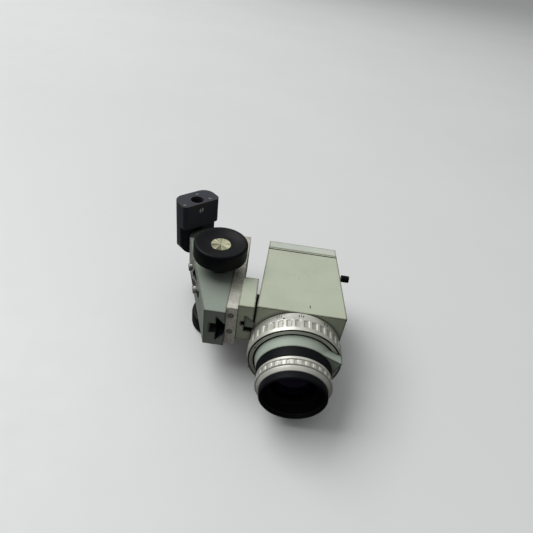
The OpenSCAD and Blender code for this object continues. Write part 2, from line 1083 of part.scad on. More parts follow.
module index_ring() {
    color(steel)
    turned_y([
        [nose_r + 0.9, index_y0],
        [index_r - 0.3, index_y0],
        [index_r, index_y0 + 0.3],
        [index_r, index_y1],
        [nose_r, index_y1],
        [nose_r, index_y1 - 2.4],
        [nose_r + 0.9, index_y1 - 2.4]
    ]);
}

module black_ring() {
    color(black)
    turned_y([
        [barrel_body_r, black_y0],
        [28.4, black_y0],
        [28.7, black_y0 + 0.3],
        [29.2, nose_y0],
        [barrel_body_r, nose_y0]
    ]);
}

module lens_barrel() {
    color(black)
    turned_y([
        [rim_bore_r, 0],
        [24.6, 0],
        [barrel_r, 0.8],
        [barrel_r, barrel_flange_y],
        [barrel_body_r, barrel_flange_y],
        [barrel_body_r, thread_y1],
        [stop_r, thread_y1],
        [stop_r, rear_lens_y1],
        [rear_lens_r, rear_lens_y1],
        [rear_lens_r, front_lens_y1],
        [front_lens_r, front_lens_y1],
        [front_lens_r, front_lens_y1 - 10],
        for (k = [0 : 3])
            each [
                [front_lens_r + 0.65 * (k + 1), front_lens_y1 - 10 - 1.3 * k],
                [front_lens_r + 0.65 * (k + 1), front_lens_y1 - 11.3 - 1.3 * k]
            ],
        [front_lens_r + 2.6, rim_bore_len],
        [rim_bore_r, rim_bore_len]
    ]);
}

// Glass with a domed front: edge radius r, from the dome's top at y0 to the flat back at y1
module domed_glass(r, dome_r, y0, y1) {
    color(glass_tone)
    turned_y(concat(
        [for (k = [0 : dome_steps])
            let (x = r * k / dome_steps)
            [x, y0 + dome_r - sqrt(pow(dome_r, 2) - pow(x, 2))]],
        [[r, y1], [0, y1]]
    ));
}

module front_lens() {
    domed_glass(front_lens_r, 55, front_lens_y1 - 6.8, front_lens_y1);
}

module rear_lens() {
    domed_glass(rear_lens_r, 60, rear_lens_y1 - 6, rear_lens_y1);
}

module focus_lens() {
    domed_glass(cell_bore_r, 80, cell_y0 + 3, cell_y0 + 8);
}

module lens_spacer() {
    color(black)
    turned_y([
        [rear_lens_r - 1.4, front_lens_y1 + 0.05],
        [rear_lens_r - 0.02, front_lens_y1 + 0.05],
        [rear_lens_r - 0.02, rear_lens_y1 - 4],
        [rear_lens_r - 1.4, rear_lens_y1 - 4]
    ]);
}

module lens_retainer() {
    color(black)
    turned_y([
        [front_lens_r - 2, front_lens_y1 - 9.8],
        [front_lens_r, front_lens_y1 - 9.8],
        [front_lens_r, front_lens_y1 - 3.3],
        [front_lens_r - 1, front_lens_y1 - 3.7],
        [front_lens_r - 2, front_lens_y1 - 6.5]
    ]);
}

module flutes(count, r, cutter_r, y0, y1) {
    for (k = [0 : count - 1])
        round_axis(k * 360 / count)
            translate([r, 0, 0])
                rod_y(cutter_r, y0, y1);
}

module lens_ring() {
    color(steel)
    difference() {
        turned_y([
            [barrel_body_r + run_gap, lock_y0],
            [25.6, lock_y0],
            [27.8, lock_y0 + 2.6],
            [27.8, lock_y0 + 3.2],
            [lock_r - 0.4, lock_y0 + 3.2],
            [lock_r, lock_y0 + 3.6],
            [lock_r, lock_y0 + 7.2],
            [27.8, lock_y0 + 7.4],
            [27.8, lock_y0 + 8],
            [lock_r - 0.2, lock_y0 + 8.2],
            [lock_r - 0.2, lock_y1],
            [barrel_body_r + run_gap, lock_y1]
        ]);
        flutes(lock_flutes, lock_r + 2.6, 3, lock_y0 + 3.3, lock_y0 + 7.3);
    }
}

// --- focus ring and cell ---

module fluted_ring() {
    color(steel)
    difference() {
        turned_y([
            [skirt_r, ring_y0],
            [skirt_r + 0.4, ring_y0],
            [ring_r, ring_y0 + 3],
            [ring_r, nose_len - 7.4],
            [band_r, nose_len - 7],
            [band_r, ring_y1],
            [nose_r + run_gap, ring_y1],
            [nose_r + run_gap, index_y1 + 0.3],
            [skirt_r, index_y1 + 0.3]
        ]);
        flutes(ring_flutes, ring_r + 2.6, 3.5, ring_y0 + 3.6, nose_len - 7.6);
        round_axis(cam_angle)
            translate([0, cam_y, 0])
                rotate([0, 90, 0])
                    cylinder(r = cam_pin_r, h = ring_r - 1.5);
    }
}

// Pin that couples the ring to the cell's cam groove
module ring_drive_pin() {
    color(steel)
    round_axis(cam_angle)
        translate([0, cam_y, 0])
            rotate([0, 90, 0])
                translate([0, 0, cell_r - 2.6])
                    cylinder(r = cam_pin_r, h = ring_r - 1.5 - cell_r + 2.6);
}

module focus_cell() {
    color(black)
    difference() {
        turned_y([
            [cell_bore_r, cell_y0],
            [cell_r, cell_y0],
            [cell_r, cell_y1],
            [cell_bore_r - 2, cell_y1],
            [cell_bore_r - 2, cell_y0 + 8],
            [cell_bore_r, cell_y0 + 8]
        ]);
        for (t = [-cam_half_turn - cam_step : cam_step : cam_half_turn + cam_step])
            round_axis(cam_angle + t)
                translate([0, cam_y - t / cam_half_turn * cam_half_travel, 0])
                    rotate([0, 90, 0])
                        translate([0, 0, cell_r - 3])
                            cylinder(r = cam_slot_r, h = 6);
        round_axis(90)
            translate([0, key_y, 0])
                rotate([0, 90, 0])
                    cylinder(r = key_r, h = nose_r);
    }
}

module cell_key() {
    color(steel)
    round_axis(90)
        translate([0, key_y, 0])
            rotate([0, 90, 0])
                translate([0, 0, cell_bore_r + 3])
                    cylinder(r = key_r, h = nose_bore_r + 1.4 - cell_bore_r - 3);
}

module cell_retainer() {
    color(black)
    turned_y([
        [cell_bore_r - 1.5, cell_y0 + 0.3],
        [cell_bore_r, cell_y0 + 0.3],
        [cell_bore_r, cell_y0 + 4.7],
        [cell_bore_r - 0.6, cell_y0 + 4.7],
        [cell_bore_r - 1.5, cell_y0 + 2.6]
    ]);
}

// --- filter selector ---

module selector_knob() {
    color(black)
    difference() {
        rod_x(3.1, 36.8, 43.6, selector_y, selector_z);
        rod_x(stem_r, 36, 42.5, selector_y, selector_z);
        for (k = [0 : 15])
            translate([0, selector_y, selector_z])
                rotate([k * 22.5, 0, 0])
                    rod_x(0.35, 37.6, 44, 3.2, 0);
    }
}

module selector_stem() {
    color(steel)
    rod_x(stem_r, filter_half_w - 3, 42.5, selector_y, selector_z);
}

module filter_frame() {
    color(black)
    difference() {
        translate([-filter_half_w, selector_y - filter_t / 2, -15])
            cube([2 * filter_half_w, filter_t, 46]);
        rod_y(filter_r, selector_y - 3, selector_y + 3);
        rod_x(stem_r, filter_half_w - 3, 20, selector_y, selector_z);
    }
}

module filter_glass() {
    color(glass_tone)
    rod_y(filter_r, selector_y - 0.8, selector_y + 0.8);
}

focus_housing();
pinion_bush_top();
pinion_bush_bottom();
side_strap();
side_screws();
stand_socket();
socket_cap();
socket_cap_screws();
pivot_pin();
pivot_nut();
pillar_screw();
pinion_shaft();
pinion_gear();
knob_top();
knob_bottom();
knob_top_disc();
knob_bottom_disc();
knob_washers();
knob_setscrews();
slide_plate();
slide_dovetail();
dovetail_screws();
focus_rack();
rack_screws();
plate_end_screws();
arm_bracket();
arm_screws();
clamp_strip();
arm_clamp_screw();
body_rail();
rail_screws();
body_shell();
rear_cover();
cover_screws();
port_ring();
port_window();
filter_guides();
stem_bush();
nose_tube();
nose_screws();
index_ring();
black_ring();
lens_barrel();
front_lens();
lens_spacer();
rear_lens();
lens_retainer();
lens_ring();
fluted_ring();
ring_drive_pin();
focus_cell();
focus_lens();
cell_retainer();
cell_key();
selector_knob();
selector_stem();
filter_frame();
filter_glass();
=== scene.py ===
"""Looks of the optical camera head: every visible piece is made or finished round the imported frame."""

import json
import math

import bmesh
import bpy
from mathutils import Matrix, Vector


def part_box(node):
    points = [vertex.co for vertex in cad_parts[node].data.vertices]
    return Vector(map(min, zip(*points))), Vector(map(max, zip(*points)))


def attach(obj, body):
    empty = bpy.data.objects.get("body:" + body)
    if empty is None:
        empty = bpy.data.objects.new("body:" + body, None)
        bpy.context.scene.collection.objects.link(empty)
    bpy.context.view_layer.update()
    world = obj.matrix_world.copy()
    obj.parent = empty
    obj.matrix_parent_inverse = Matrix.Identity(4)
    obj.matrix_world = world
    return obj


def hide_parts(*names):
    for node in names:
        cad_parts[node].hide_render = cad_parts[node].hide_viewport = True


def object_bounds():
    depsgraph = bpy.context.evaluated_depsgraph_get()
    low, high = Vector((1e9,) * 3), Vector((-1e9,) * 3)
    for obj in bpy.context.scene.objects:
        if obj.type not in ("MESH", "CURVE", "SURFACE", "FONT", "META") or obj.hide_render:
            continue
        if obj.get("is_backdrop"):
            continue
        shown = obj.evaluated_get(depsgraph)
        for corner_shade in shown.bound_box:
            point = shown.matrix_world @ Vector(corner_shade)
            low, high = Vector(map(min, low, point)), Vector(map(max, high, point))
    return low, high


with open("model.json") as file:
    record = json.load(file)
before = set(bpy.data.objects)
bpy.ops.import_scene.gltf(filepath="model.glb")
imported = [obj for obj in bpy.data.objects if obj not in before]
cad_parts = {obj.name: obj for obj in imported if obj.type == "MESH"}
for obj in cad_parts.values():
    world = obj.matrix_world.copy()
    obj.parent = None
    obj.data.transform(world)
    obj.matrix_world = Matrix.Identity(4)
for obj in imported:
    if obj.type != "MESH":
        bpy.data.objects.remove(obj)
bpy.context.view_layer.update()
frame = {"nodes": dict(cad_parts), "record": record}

bl_info = {
    "name": "Optical Camera Head",
    "version": (1, 0, 0),
    "blender": (4, 5, 0),
    "location": "View3D > Sidebar > Optical Head",
    "description": "Builds an optical head with a fluted focus ring on a rack-and-pinion slide",
    "category": "Add Mesh",
}

MM = 0.001
TAU = 2 * math.pi

# Which material slot each node and each piece takes its finish from
SLOT_OF = {s["node"]: s["material_slot"] for s in frame["record"]["subparts"]}
BODY_OF = {n: b for b, ns in frame["record"]["behaviour"]["bodies"].items() for n in ns}

# Materials made here, by finish
MADE = {}

# Axes that the round pieces turn about
OPTICAL_AXIS = Matrix.Rotation(math.radians(-90), 4, "X")


def middle(node):
    """Centre of a node's box."""
    low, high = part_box(node)
    return (low + high) / 2


def pinion_axis():
    """Frame of the pinion: its Z runs up the shaft."""
    c = middle("pinion_shaft")
    return Matrix.Translation((c.x, c.y, 0))


# ---------------------------------------------------------------- settings


class HeadFinish(bpy.types.PropertyGroup):
    """Colours and wear of the head."""

    cream: bpy.props.FloatVectorProperty(
        name="Body paint",
        description="Colour of the body's and arm's paint",
        subtype="COLOR",
        size=3,
        min=0,
        max=1,
        default=(0.445, 0.490, 0.385),
    )
    grey: bpy.props.FloatVectorProperty(
        name="Drive paint",
        description="Colour of the housing's and nose's paint",
        subtype="COLOR",
        size=3,
        min=0,
        max=1,
        default=(0.25, 0.288, 0.246),
    )
    black: bpy.props.FloatVectorProperty(
        name="Black",
        description="Colour of the black enamel and plastic",
        subtype="COLOR",
        size=3,
        min=0,
        max=1,
        default=(0.0045, 0.005, 0.0065),
    )
    wear: bpy.props.FloatProperty(
        name="Wear",
        description="How far the edges are worn",
        subtype="FACTOR",
        min=0,
        max=1,
        default=0.6,
    )
    # This amount also deepens the painted shade in corners
    grime_and_shade: bpy.props.FloatProperty(
        name="Grime and corner shade",
        description="How much dirt lies in the corners and on the paint",
        subtype="FACTOR",
        min=0,
        max=1,
        default=0.5,
    )


class HeadShape(bpy.types.PropertyGroup):
    """Sizes that the visible pieces add to the frame."""

    body_edge: bpy.props.FloatProperty(
        name="Body edges",
        description="Rounding of the painted body's edges",
        subtype="DISTANCE",
        unit="LENGTH",
        min=0.0002,
        max=0.003,
        default=0.00025,
    )
    housing_edge: bpy.props.FloatProperty(
        name="Housing edges",
        description="Rounding of the housing's edges",
        subtype="DISTANCE",
        unit="LENGTH",
        min=0.0002,
        max=0.003,
        default=0.0003,
    )
    metal_edge: bpy.props.FloatProperty(
        name="Metal edges",
        description="Rounding of machined edges",
        subtype="DISTANCE",
        unit="LENGTH",
        min=0.0001,
        max=0.001,
        default=0.0003,
    )
    flutes: bpy.props.IntProperty(
        name="Ring flutes",
        description="Number of flutes round the focus ring",
        min=24,
        max=48,
        default=36,
    )
    lock_flutes: bpy.props.IntProperty(
        name="Lock ring flutes",
        description="Number of flutes round the lens lock ring",
        min=24,
        max=48,
        default=32,
    )
    lens_length: bpy.props.FloatProperty(
        name="Camera lens",
        description="Focal length of the scene's camera",
        subtype="DISTANCE_CAMERA",
        min=10,
        max=100,
        default=27.15,
    )


def finish_settings():
    return bpy.context.scene.head_finish


def shape_settings():
    return bpy.context.scene.head_shape


# ---------------------------------------------------------------- node groups


class Shading:
    """Adds shader nodes to one tree and links them."""

    def __init__(self, tree):
        self.tree = tree

    def add(self, kind, links=None, **values):
        node = self.tree.nodes.new(kind)
        for key, value in values.items():
            setattr(node, key, value)
        for key, value in (links or {}).items():
            self.feed(node.inputs[key], value)
        return node

    def feed(self, socket, value):
        if isinstance(value, bpy.types.NodeSocket):
            self.tree.links.new(value, socket)
        elif isinstance(value, bpy.types.Node):
            self.tree.links.new(value.outputs[0], socket)
        else:
            socket.default_value = value

    def math(self, operation, a, b=0.0, clamp=False):
        return self.add("ShaderNodeMath", {0: a, 1: b}, operation=operation, use_clamp=clamp)

    def vector(self, operation, a, b=(0, 0, 0)):
        return self.add("ShaderNodeVectorMath", {0: a, 1: b}, operation=operation)

    def ramp(self, value, low, high):
        """0 below low, 1 above high."""
        return self.add("ShaderNodeMapRange", {0: value, 1: low, 2: high, 3: 0.0, 4: 1.0}, clamp=True)

    def mix(self, factor, a, b):
        """Colour between a and b."""
        node = self.add("ShaderNodeMix", data_type="RGBA")
        self.feed(node.inputs["Factor"], factor)
        self.feed(node.inputs[6], a)
        self.feed(node.inputs[7], b)
        return node.outputs[2]

    def noise(self, place, scale, detail=4.0, rough=0.55):
        return self.add(
            "ShaderNodeTexNoise",
            {"Vector": place, "Scale": scale, "Detail": detail, "Roughness": rough},
        ).outputs["Fac"]

    def own_place(self):
        """Place on the object, in metres."""
        return self.add("ShaderNodeTexCoord").outputs["Object"]

    def group(self, name, **values):
        node = self.tree.nodes.new("ShaderNodeGroup")
        node.node_tree = bpy.data.node_groups[name]
        for key, value in values.items():
            self.feed(node.inputs[key.replace("_", " ").capitalize()], value)
        return node


def new_group(name, inputs, outputs):
    """Empty group with named sockets; inputs is {name: default}, outputs is {name: kind}."""
    tree = bpy.data.node_groups.new(name, "ShaderNodeTree")
    for label, value in inputs.items():
        socket = tree.interface.new_socket(label, in_out="INPUT", socket_type="NodeSocketFloat")
        socket.default_value = value
    for label, kind in outputs.items():
        tree.interface.new_socket(label, in_out="OUTPUT", socket_type=kind)
    return Shading(tree), tree.nodes.new("NodeGroupInput"), tree.nodes.new("NodeGroupOutput")


VALUE = "NodeSocketFloat"


def edge_wear_group():
    """Mask of rubbed edges: where a rounded normal leaves the surface's own, broken by noise."""
    inputs = {"Radius": 0.0006, "Amount": 0.5, "Patch scale": 180.0}
    s, given, out = new_group("Edge wear", inputs, {"Mask": VALUE})
    place = s.own_place()
    own = s.add("ShaderNodeNewGeometry").outputs["Normal"]
    round_over = s.add("ShaderNodeBevel", {"Radius": given.outputs["Radius"]}, samples=6)
    turned = s.math("SUBTRACT", 1.0, s.vector("DOT_PRODUCT", round_over, own).outputs["Value"])
    edge = s.ramp(turned, 0.004, 0.09)
    patches = s.noise(place, given.outputs["Patch scale"], 5.0, 0.65)
    level = s.math("SUBTRACT", 0.86, s.math("MULTIPLY", given.outputs["Amount"], 0.5))
    worn = s.ramp(s.math("ADD", s.math("MULTIPLY", edge, 0.45), patches), level, s.math("ADD", level, 0.06))
    s.feed(out.inputs["Mask"], s.math("MULTIPLY", worn, edge, clamp=True))


def grime_and_shade_group():
    """Mask of soft grimy clouds and a few specks, plus painted shade that darkens corners by how little of
    the room they see.
    """
    s, given, out = new_group(
        "Grime and corner shade",
        {"Amount": 0.5, "Cloud scale": 28.0, "Corner reach": 0.004},
        {"Mask": VALUE, "Specks": VALUE},
    )
    place = s.own_place()
    clouds = s.ramp(s.noise(place, given.outputs["Cloud scale"], 6.0, 0.6), 0.42, 0.75)
    # Painted shade: ambient occlusion darkens the mask in corners and creases
    open_sky = s.add("ShaderNodeAmbientOcclusion", {"Distance": given.outputs["Corner reach"]}, samples=6)
    corner_shade = s.math("SUBTRACT", 1.0, open_sky.outputs["AO"])
    corner_shade = s.math("MULTIPLY", corner_shade, s.noise(place, 300.0, 3.0))
    both = s.math("ADD", s.math("MULTIPLY", clouds, 0.35), s.math("MULTIPLY", corner_shade, 1.1))
    s.feed(out.inputs["Mask"], s.math("MULTIPLY", both, given.outputs["Amount"], clamp=True))
    cells = s.add("ShaderNodeTexVoronoi", {"Vector": place, "Scale": 150.0, "Randomness": 1.0})
    near = s.ramp(cells.outputs["Distance"], 0.075, 0.05)
    chosen = s.ramp(s.noise(place, 35.0, 2.0), 0.6, 0.66)
    specks = s.math("MULTIPLY", near, chosen, clamp=True)
    stretch = {"Vector": place, "Scale": (1.0, 0.22, 1.0), "Rotation": (0.0, 0.0, 0.08)}
    drawn = s.add("ShaderNodeMapping", stretch)
    dashes = s.add("ShaderNodeTexVoronoi", {"Vector": drawn, "Scale": 95.0, "Randomness": 1.0})
    thin = s.ramp(dashes.outputs["Distance"], 0.05, 0.035)
    rare = s.ramp(s.noise(place, 24.0, 1.0), 0.6, 0.64)
    s.feed(out.inputs["Specks"], s.math("ADD", specks, s.math("MULTIPLY", thin, rare), clamp=True))


def recess_shade_group():
    """Mask of painted shade in deep slots and gaps, where little of the room is in view."""
    s, given, out = new_group("Recess shade", {"Reach": 0.012, "Closed": 0.34, "Open": 0.6}, {"Mask": VALUE})
    open_sky = s.add("ShaderNodeAmbientOcclusion", {"Distance": given.outputs["Reach"]}, samples=8)
    shut = s.ramp(open_sky.outputs["AO"], given.outputs["Closed"], given.outputs["Open"])
    s.feed(out.inputs["Mask"], s.math("SUBTRACT", 1.0, shut))


def orange_peel_group():
    """Fine relief of sprayed and baked paint."""
    s, given, out = new_group("Orange peel", {"Scale": 900.0}, {"Height": VALUE})
    place = s.own_place()
    coarse = s.noise(place, given.outputs["Scale"], 2.0, 0.5)
    waves = s.noise(place, 70.0, 2.0, 0.5)
    s.feed(out.inputs["Height"], s.math("ADD", s.math("MULTIPLY", coarse, 0.4), waves))


def turning_marks_group():
    """Concentric lines of turned metal about the optical axis or, with Upright 1, the pinion's."""
    s, given, out = new_group(
        "Turning marks",
        {"Centre x": 0.0, "Centre y": 0.0, "Upright": 0.0, "Pitch scale": 2600.0},
        {"Lines": VALUE, "Spokes": VALUE},
    )
    place = s.own_place()
    split = s.add("ShaderNodeSeparateXYZ", {0: place})
    x = s.math("SUBTRACT", split.outputs["X"], given.outputs["Centre x"])
    upright = given.outputs["Upright"]
    off_axis = s.math("SUBTRACT", split.outputs["Y"], given.outputs["Centre y"])
    z_part = s.math("MULTIPLY", split.outputs["Z"], s.math("SUBTRACT", 1.0, upright))
    across = s.math("ADD", s.math("MULTIPLY", off_axis, upright), z_part)
    along = s.math(
        "ADD",
        s.math("MULTIPLY", split.outputs["Z"], upright),
        s.math("MULTIPLY", split.outputs["Y"], s.math("SUBTRACT", 1.0, upright)),
    )
    radius = s.math("SQRT", s.math("ADD", s.math("MULTIPLY", x, x), s.math("MULTIPLY", across, across)))
    angle = s.math("ARCTAN2", across, x)
    lines = s.add("ShaderNodeCombineXYZ", {0: radius, 1: along, 2: 0.0})
    s.feed(out.inputs["Lines"], s.noise(lines, given.outputs["Pitch scale"], 3.0, 0.6))
    turn = s.add("ShaderNodeCombineXYZ", {0: s.math("COSINE", angle), 1: s.math("SINE", angle), 2: 0.0})
    s.feed(out.inputs["Spokes"], s.noise(turn, 1.3, 6.0, 0.7))


def scratches_group():
    """Mask of fine crossing scratches."""
    s, given, out = new_group("Scratches", {"Scale": 60.0, "Amount": 0.5}, {"Mask": VALUE})
    place = s.own_place()
    masks = []
    for tilt, stretch in ((0.4, 26.0), (-0.9, 34.0)):
        turned = s.add(
            "ShaderNodeMapping",
            {"Vector": place, "Rotation": (tilt, tilt * 0.7, tilt), "Scale": (1.0, stretch, stretch * 0.8)},
        )
        lines = s.noise(turned, given.outputs["Scale"], 3.0, 0.5)
        masks.append(s.ramp(lines, 0.64, 0.7))
    both = s.math("ADD", masks[0], masks[1], clamp=True)
    s.feed(out.inputs["Mask"], s.math("MULTIPLY", both, given.outputs["Amount"], clamp=True))


def ground_grain_group():
    """Fine straight lines of a ground face, drawn along Y."""
    s, given, out = new_group("Ground grain", {"Scale": 900.0}, {"Lines": VALUE})
    place = s.own_place()
    drawn = s.add("ShaderNodeMapping", {"Vector": place, "Scale": (1.0, 0.03, 1.0)})
    s.feed(out.inputs["Lines"], s.noise(drawn, given.outputs["Scale"], 4.0, 0.6))


def build_groups():
    edge_wear_group()
    grime_and_shade_group()
    recess_shade_group()
    orange_peel_group()
    turning_marks_group()
    scratches_group()
    ground_grain_group()


# ---------------------------------------------------------------- materials


def new_material(name):
    """Material with a Principled shader, and the Shading that adds nodes to it."""
    material = bpy.data.materials.new("head_" + name)
    material.use_nodes = True
    MADE[name] = material
    shader = material.node_tree.nodes["Principled BSDF"]
    return material, Shading(material.node_tree), shader


def bump(s, height, strength, distance):
    return s.add("ShaderNodeBump", {"Height": height, "Strength": strength, "Distance": distance})


def rgba(colour, value=1.0):
    return tuple(c * value for c in colour[:3]) + (1.0,)


def paint(name, colour, rough, under):
    """Baked enamel: soft clouds of tone, grimy clouds with painted shade in corners, rubbed edges down to a
    darker coat, and near black painted shade in deep slots and gaps.
    """
    f = finish_settings()
    material, s, shader = new_material(name)
    place = s.own_place()
    tone = s.mix(s.noise(place, 22.0, 4.0), rgba(colour, 0.93), rgba(colour, 1.06))
    # Grimy clouds and specks, with painted shade darkening the corners towards a dark brown of the paint
    dirt_and_shade = s.group("Grime and corner shade", amount=f.grime_and_shade)
    dirty_and_shaded = s.mix(dirt_and_shade.outputs["Mask"], tone, rgba((colour[0] * 0.42, colour[1] * 0.38, colour[2] * 0.3)))
    spotted = s.mix(dirt_and_shade.outputs["Specks"], dirty_and_shaded, rgba((0.05, 0.045, 0.03)))
    wear = s.group("Edge wear", amount=f.wear, radius=0.0022)
    worn = s.mix(wear.outputs["Mask"], spotted, rgba(under))
    # Painted shade: deep slots and gaps turn near black by how little of the room they see
    recess_shade = s.group("Recess shade")
    s.feed(shader.inputs["Base Color"], s.mix(recess_shade.outputs["Mask"], worn, (0.006, 0.006, 0.006, 1.0)))
    s.feed(shader.inputs["Roughness"], s.math("ADD", s.math("MULTIPLY", dirt_and_shade.outputs["Mask"], 0.3), rough))
    s.feed(shader.inputs["Normal"], bump(s, s.group("Orange peel").outputs["Height"], 0.2, 0.00012))
    shader.inputs["Specular IOR Level"].default_value = 0.2
    return material


def cream_paint():
    return paint("cream_paint", finish_settings().cream, 0.5, (0.055, 0.045, 0.028))


def cover_paint():
    """The rear cover's coat is a little paler and greyer than the body's."""
    body = finish_settings().cream
    return paint("cover_paint", (body[0] * 1.12, body[1] * 1.1, body[2] * 1.24), 0.5, (0.10, 0.085, 0.055))


def grey_paint():
    return paint("grey_paint", finish_settings().grey, 0.46, (0.10, 0.105, 0.085))


def lit_nose_paint():
    """Paler copy of the housing's paint for the nose: painted light, the nose lit while the housing top lies
    in the knob's shade.
    """
    grey = finish_settings().grey
    return paint("lit_nose_paint", tuple(1.42 * c for c in grey), 0.46, (0.10, 0.105, 0.085))


def chipped_end():
    """Front end of the slide plate: pale metal and paint, chipped down to brown."""
    material, s, shader = new_material("chipped_end")
    place = s.own_place()
    chips = s.ramp(s.noise(place, 420.0, 8.0, 0.8), 0.4, 0.66)
    tone = s.mix(s.noise(place, 900.0, 4.0), (0.80, 0.79, 0.72, 1.0), (0.95, 0.94, 0.88, 1.0))
    s.feed(shader.inputs["Base Color"], s.mix(chips, tone, (0.42, 0.37, 0.30, 1.0)))
    s.feed(shader.inputs["Roughness"], s.math("ADD", s.math("MULTIPLY", chips, 0.3), 0.42))
    s.feed(shader.inputs["Normal"], bump(s, chips, 0.4, 0.00006))
    return material


def black_enamel():
    """Black enamel over brass: brownish where hands have rubbed it."""
    f = finish_settings()
    material, s, shader = new_material("black_enamel")
    place = s.own_place()
    wear = s.group("Edge wear", amount=f.wear, radius=0.0009, patch_scale=220.0)
    rubbed = s.ramp(s.noise(place, 60.0, 5.0, 0.65), 0.5, 0.8)
    base = s.mix(s.math("MULTIPLY", rubbed, 0.5), rgba(f.black, 7.0), (0.048, 0.049, 0.053, 1.0))
    s.feed(shader.inputs["Base Color"], s.mix(wear.outputs["Mask"], base, (0.085, 0.055, 0.045, 1.0)))
    s.feed(shader.inputs["Roughness"], s.math("ADD", s.math("MULTIPLY", rubbed, 0.16), 0.38))
    s.feed(shader.inputs["Normal"], bump(s, s.noise(place, 1500.0, 2.0), 0.25, 0.00006))
    shader.inputs["Specular IOR Level"].default_value = 0.2
    return material


def black_plastic():
    """Turned black plastic: faint rings and dust in the dish."""
    f = finish_settings()
    c = middle("pinion_shaft")
    material, s, shader = new_material("black_plastic")
    place = s.own_place()
    marks = s.group("Turning marks", centre_x=c.x, centre_y=c.y, upright=1.0, pitch_scale=2200.0)
    dust = s.ramp(s.noise(place, 90.0, 6.0, 0.7), 0.5, 0.85)
    dusty = s.math("MULTIPLY", dust, 0.35)
    s.feed(shader.inputs["Base Color"], s.mix(dusty, rgba(f.black, 0.8), (0.016, 0.016, 0.016, 1.0)))
    s.feed(shader.inputs["Roughness"], s.math("ADD", s.math("MULTIPLY", marks.outputs["Lines"], 0.16), 0.36))
    s.feed(shader.inputs["Normal"], bump(s, marks.outputs["Lines"], 0.3, 0.00006))
    shader.inputs["Specular IOR Level"].default_value = 0.12
    return material


def metal(name, colour, rough, dark=0.75):
    """Plated or bare metal with small stains and scratches."""
    f = finish_settings()
    material, s, shader = new_material(name)
    place = s.own_place()
    stain = s.ramp(s.noise(place, 120.0, 5.0, 0.65), 0.45, 0.75)
    base = s.mix(s.math("MULTIPLY", stain, 0.5), rgba(colour), rgba(colour, dark))
    # Grimy clouds plus painted shade in corners, mixed towards dark brown
    dirt_and_shade = s.group("Grime and corner shade", amount=f.grime_and_shade, corner_reach=0.0015)
    s.feed(shader.inputs["Base Color"], s.mix(dirt_and_shade.outputs["Mask"], base, rgba((0.10, 0.09, 0.07))))
    scratched = s.group("Scratches", amount=0.6, scale=90.0)
    s.feed(shader.inputs["Roughness"], s.math("ADD", s.math("MULTIPLY", stain, 0.15), rough))
    s.feed(shader.inputs["Normal"], bump(s, scratched.outputs["Mask"], 0.12, 0.00003))
    shader.inputs["Metallic"].default_value = 1.0
    return material


def satin_steel():
    return metal("satin_steel", (0.46, 0.46, 0.44), 0.3)


def dull_steel():
    return metal("dull_steel", (0.17, 0.17, 0.165), 0.42, 0.4)


def chrome(name, light, stained):
    """Satin chrome of the rings: fine turning lines about the optical axis."""
    f = finish_settings()
    material, s, shader = new_material(name)
    place = s.own_place()
    marks = s.group("Turning marks", pitch_scale=3000.0)
    stain = s.ramp(s.noise(place, 70.0, 5.0, 0.65), 0.45, 0.8)
    base = s.mix(s.math("MULTIPLY", stain, 0.5), rgba(light), rgba(stained))
    # Grimy clouds plus painted shade in corners, mixed towards dark brown
    dirt_and_shade = s.group("Grime and corner shade", amount=f.grime_and_shade * 1.8, corner_reach=0.0016)
    s.feed(shader.inputs["Base Color"], s.mix(dirt_and_shade.outputs["Mask"], base, (0.09, 0.085, 0.07, 1.0)))
    s.feed(shader.inputs["Roughness"], s.math("ADD", s.math("MULTIPLY", marks.outputs["Lines"], 0.14), 0.36))
    s.feed(shader.inputs["Normal"], bump(s, marks.outputs["Lines"], 0.16, 0.00003))
    shader.inputs["Metallic"].default_value = 0.5
    return material


def satin_chrome():
    return chrome("satin_chrome", (0.66, 0.665, 0.60), (0.44, 0.44, 0.39))


def shaded_flute_chrome():
    """Darker copy of the rings' satin chrome for the floors of the milled flutes: painted shade in the
    flutes.
    """
    return chrome("shaded_flute_chrome", (0.50, 0.50, 0.45), (0.31, 0.31, 0.27))


def turned_steel():
    """Face of the knobs' discs: radial lines, with painted highlights that make the colour bright and dark in
    sectors.
    """
    c = middle("pinion_shaft")
    material, s, shader = new_material("turned_steel")
    marks = s.group("Turning marks", centre_x=c.x, centre_y=c.y, upright=1.0)
    sector_highlights = s.ramp(marks.outputs["Spokes"], 0.42, 0.58)
    # Painted highlight: bright and dark sectors in the base colour
    s.feed(shader.inputs["Base Color"], s.mix(sector_highlights, (0.20, 0.195, 0.12, 1.0), (0.66, 0.65, 0.46, 1.0)))
    s.feed(shader.inputs["Roughness"], s.math("ADD", s.math("MULTIPLY", sector_highlights, 0.15), 0.32))
    s.feed(shader.inputs["Normal"], bump(s, marks.outputs["Spokes"], 0.3, 0.0002))
    shader.inputs["Metallic"].default_value = 1.0
    return material


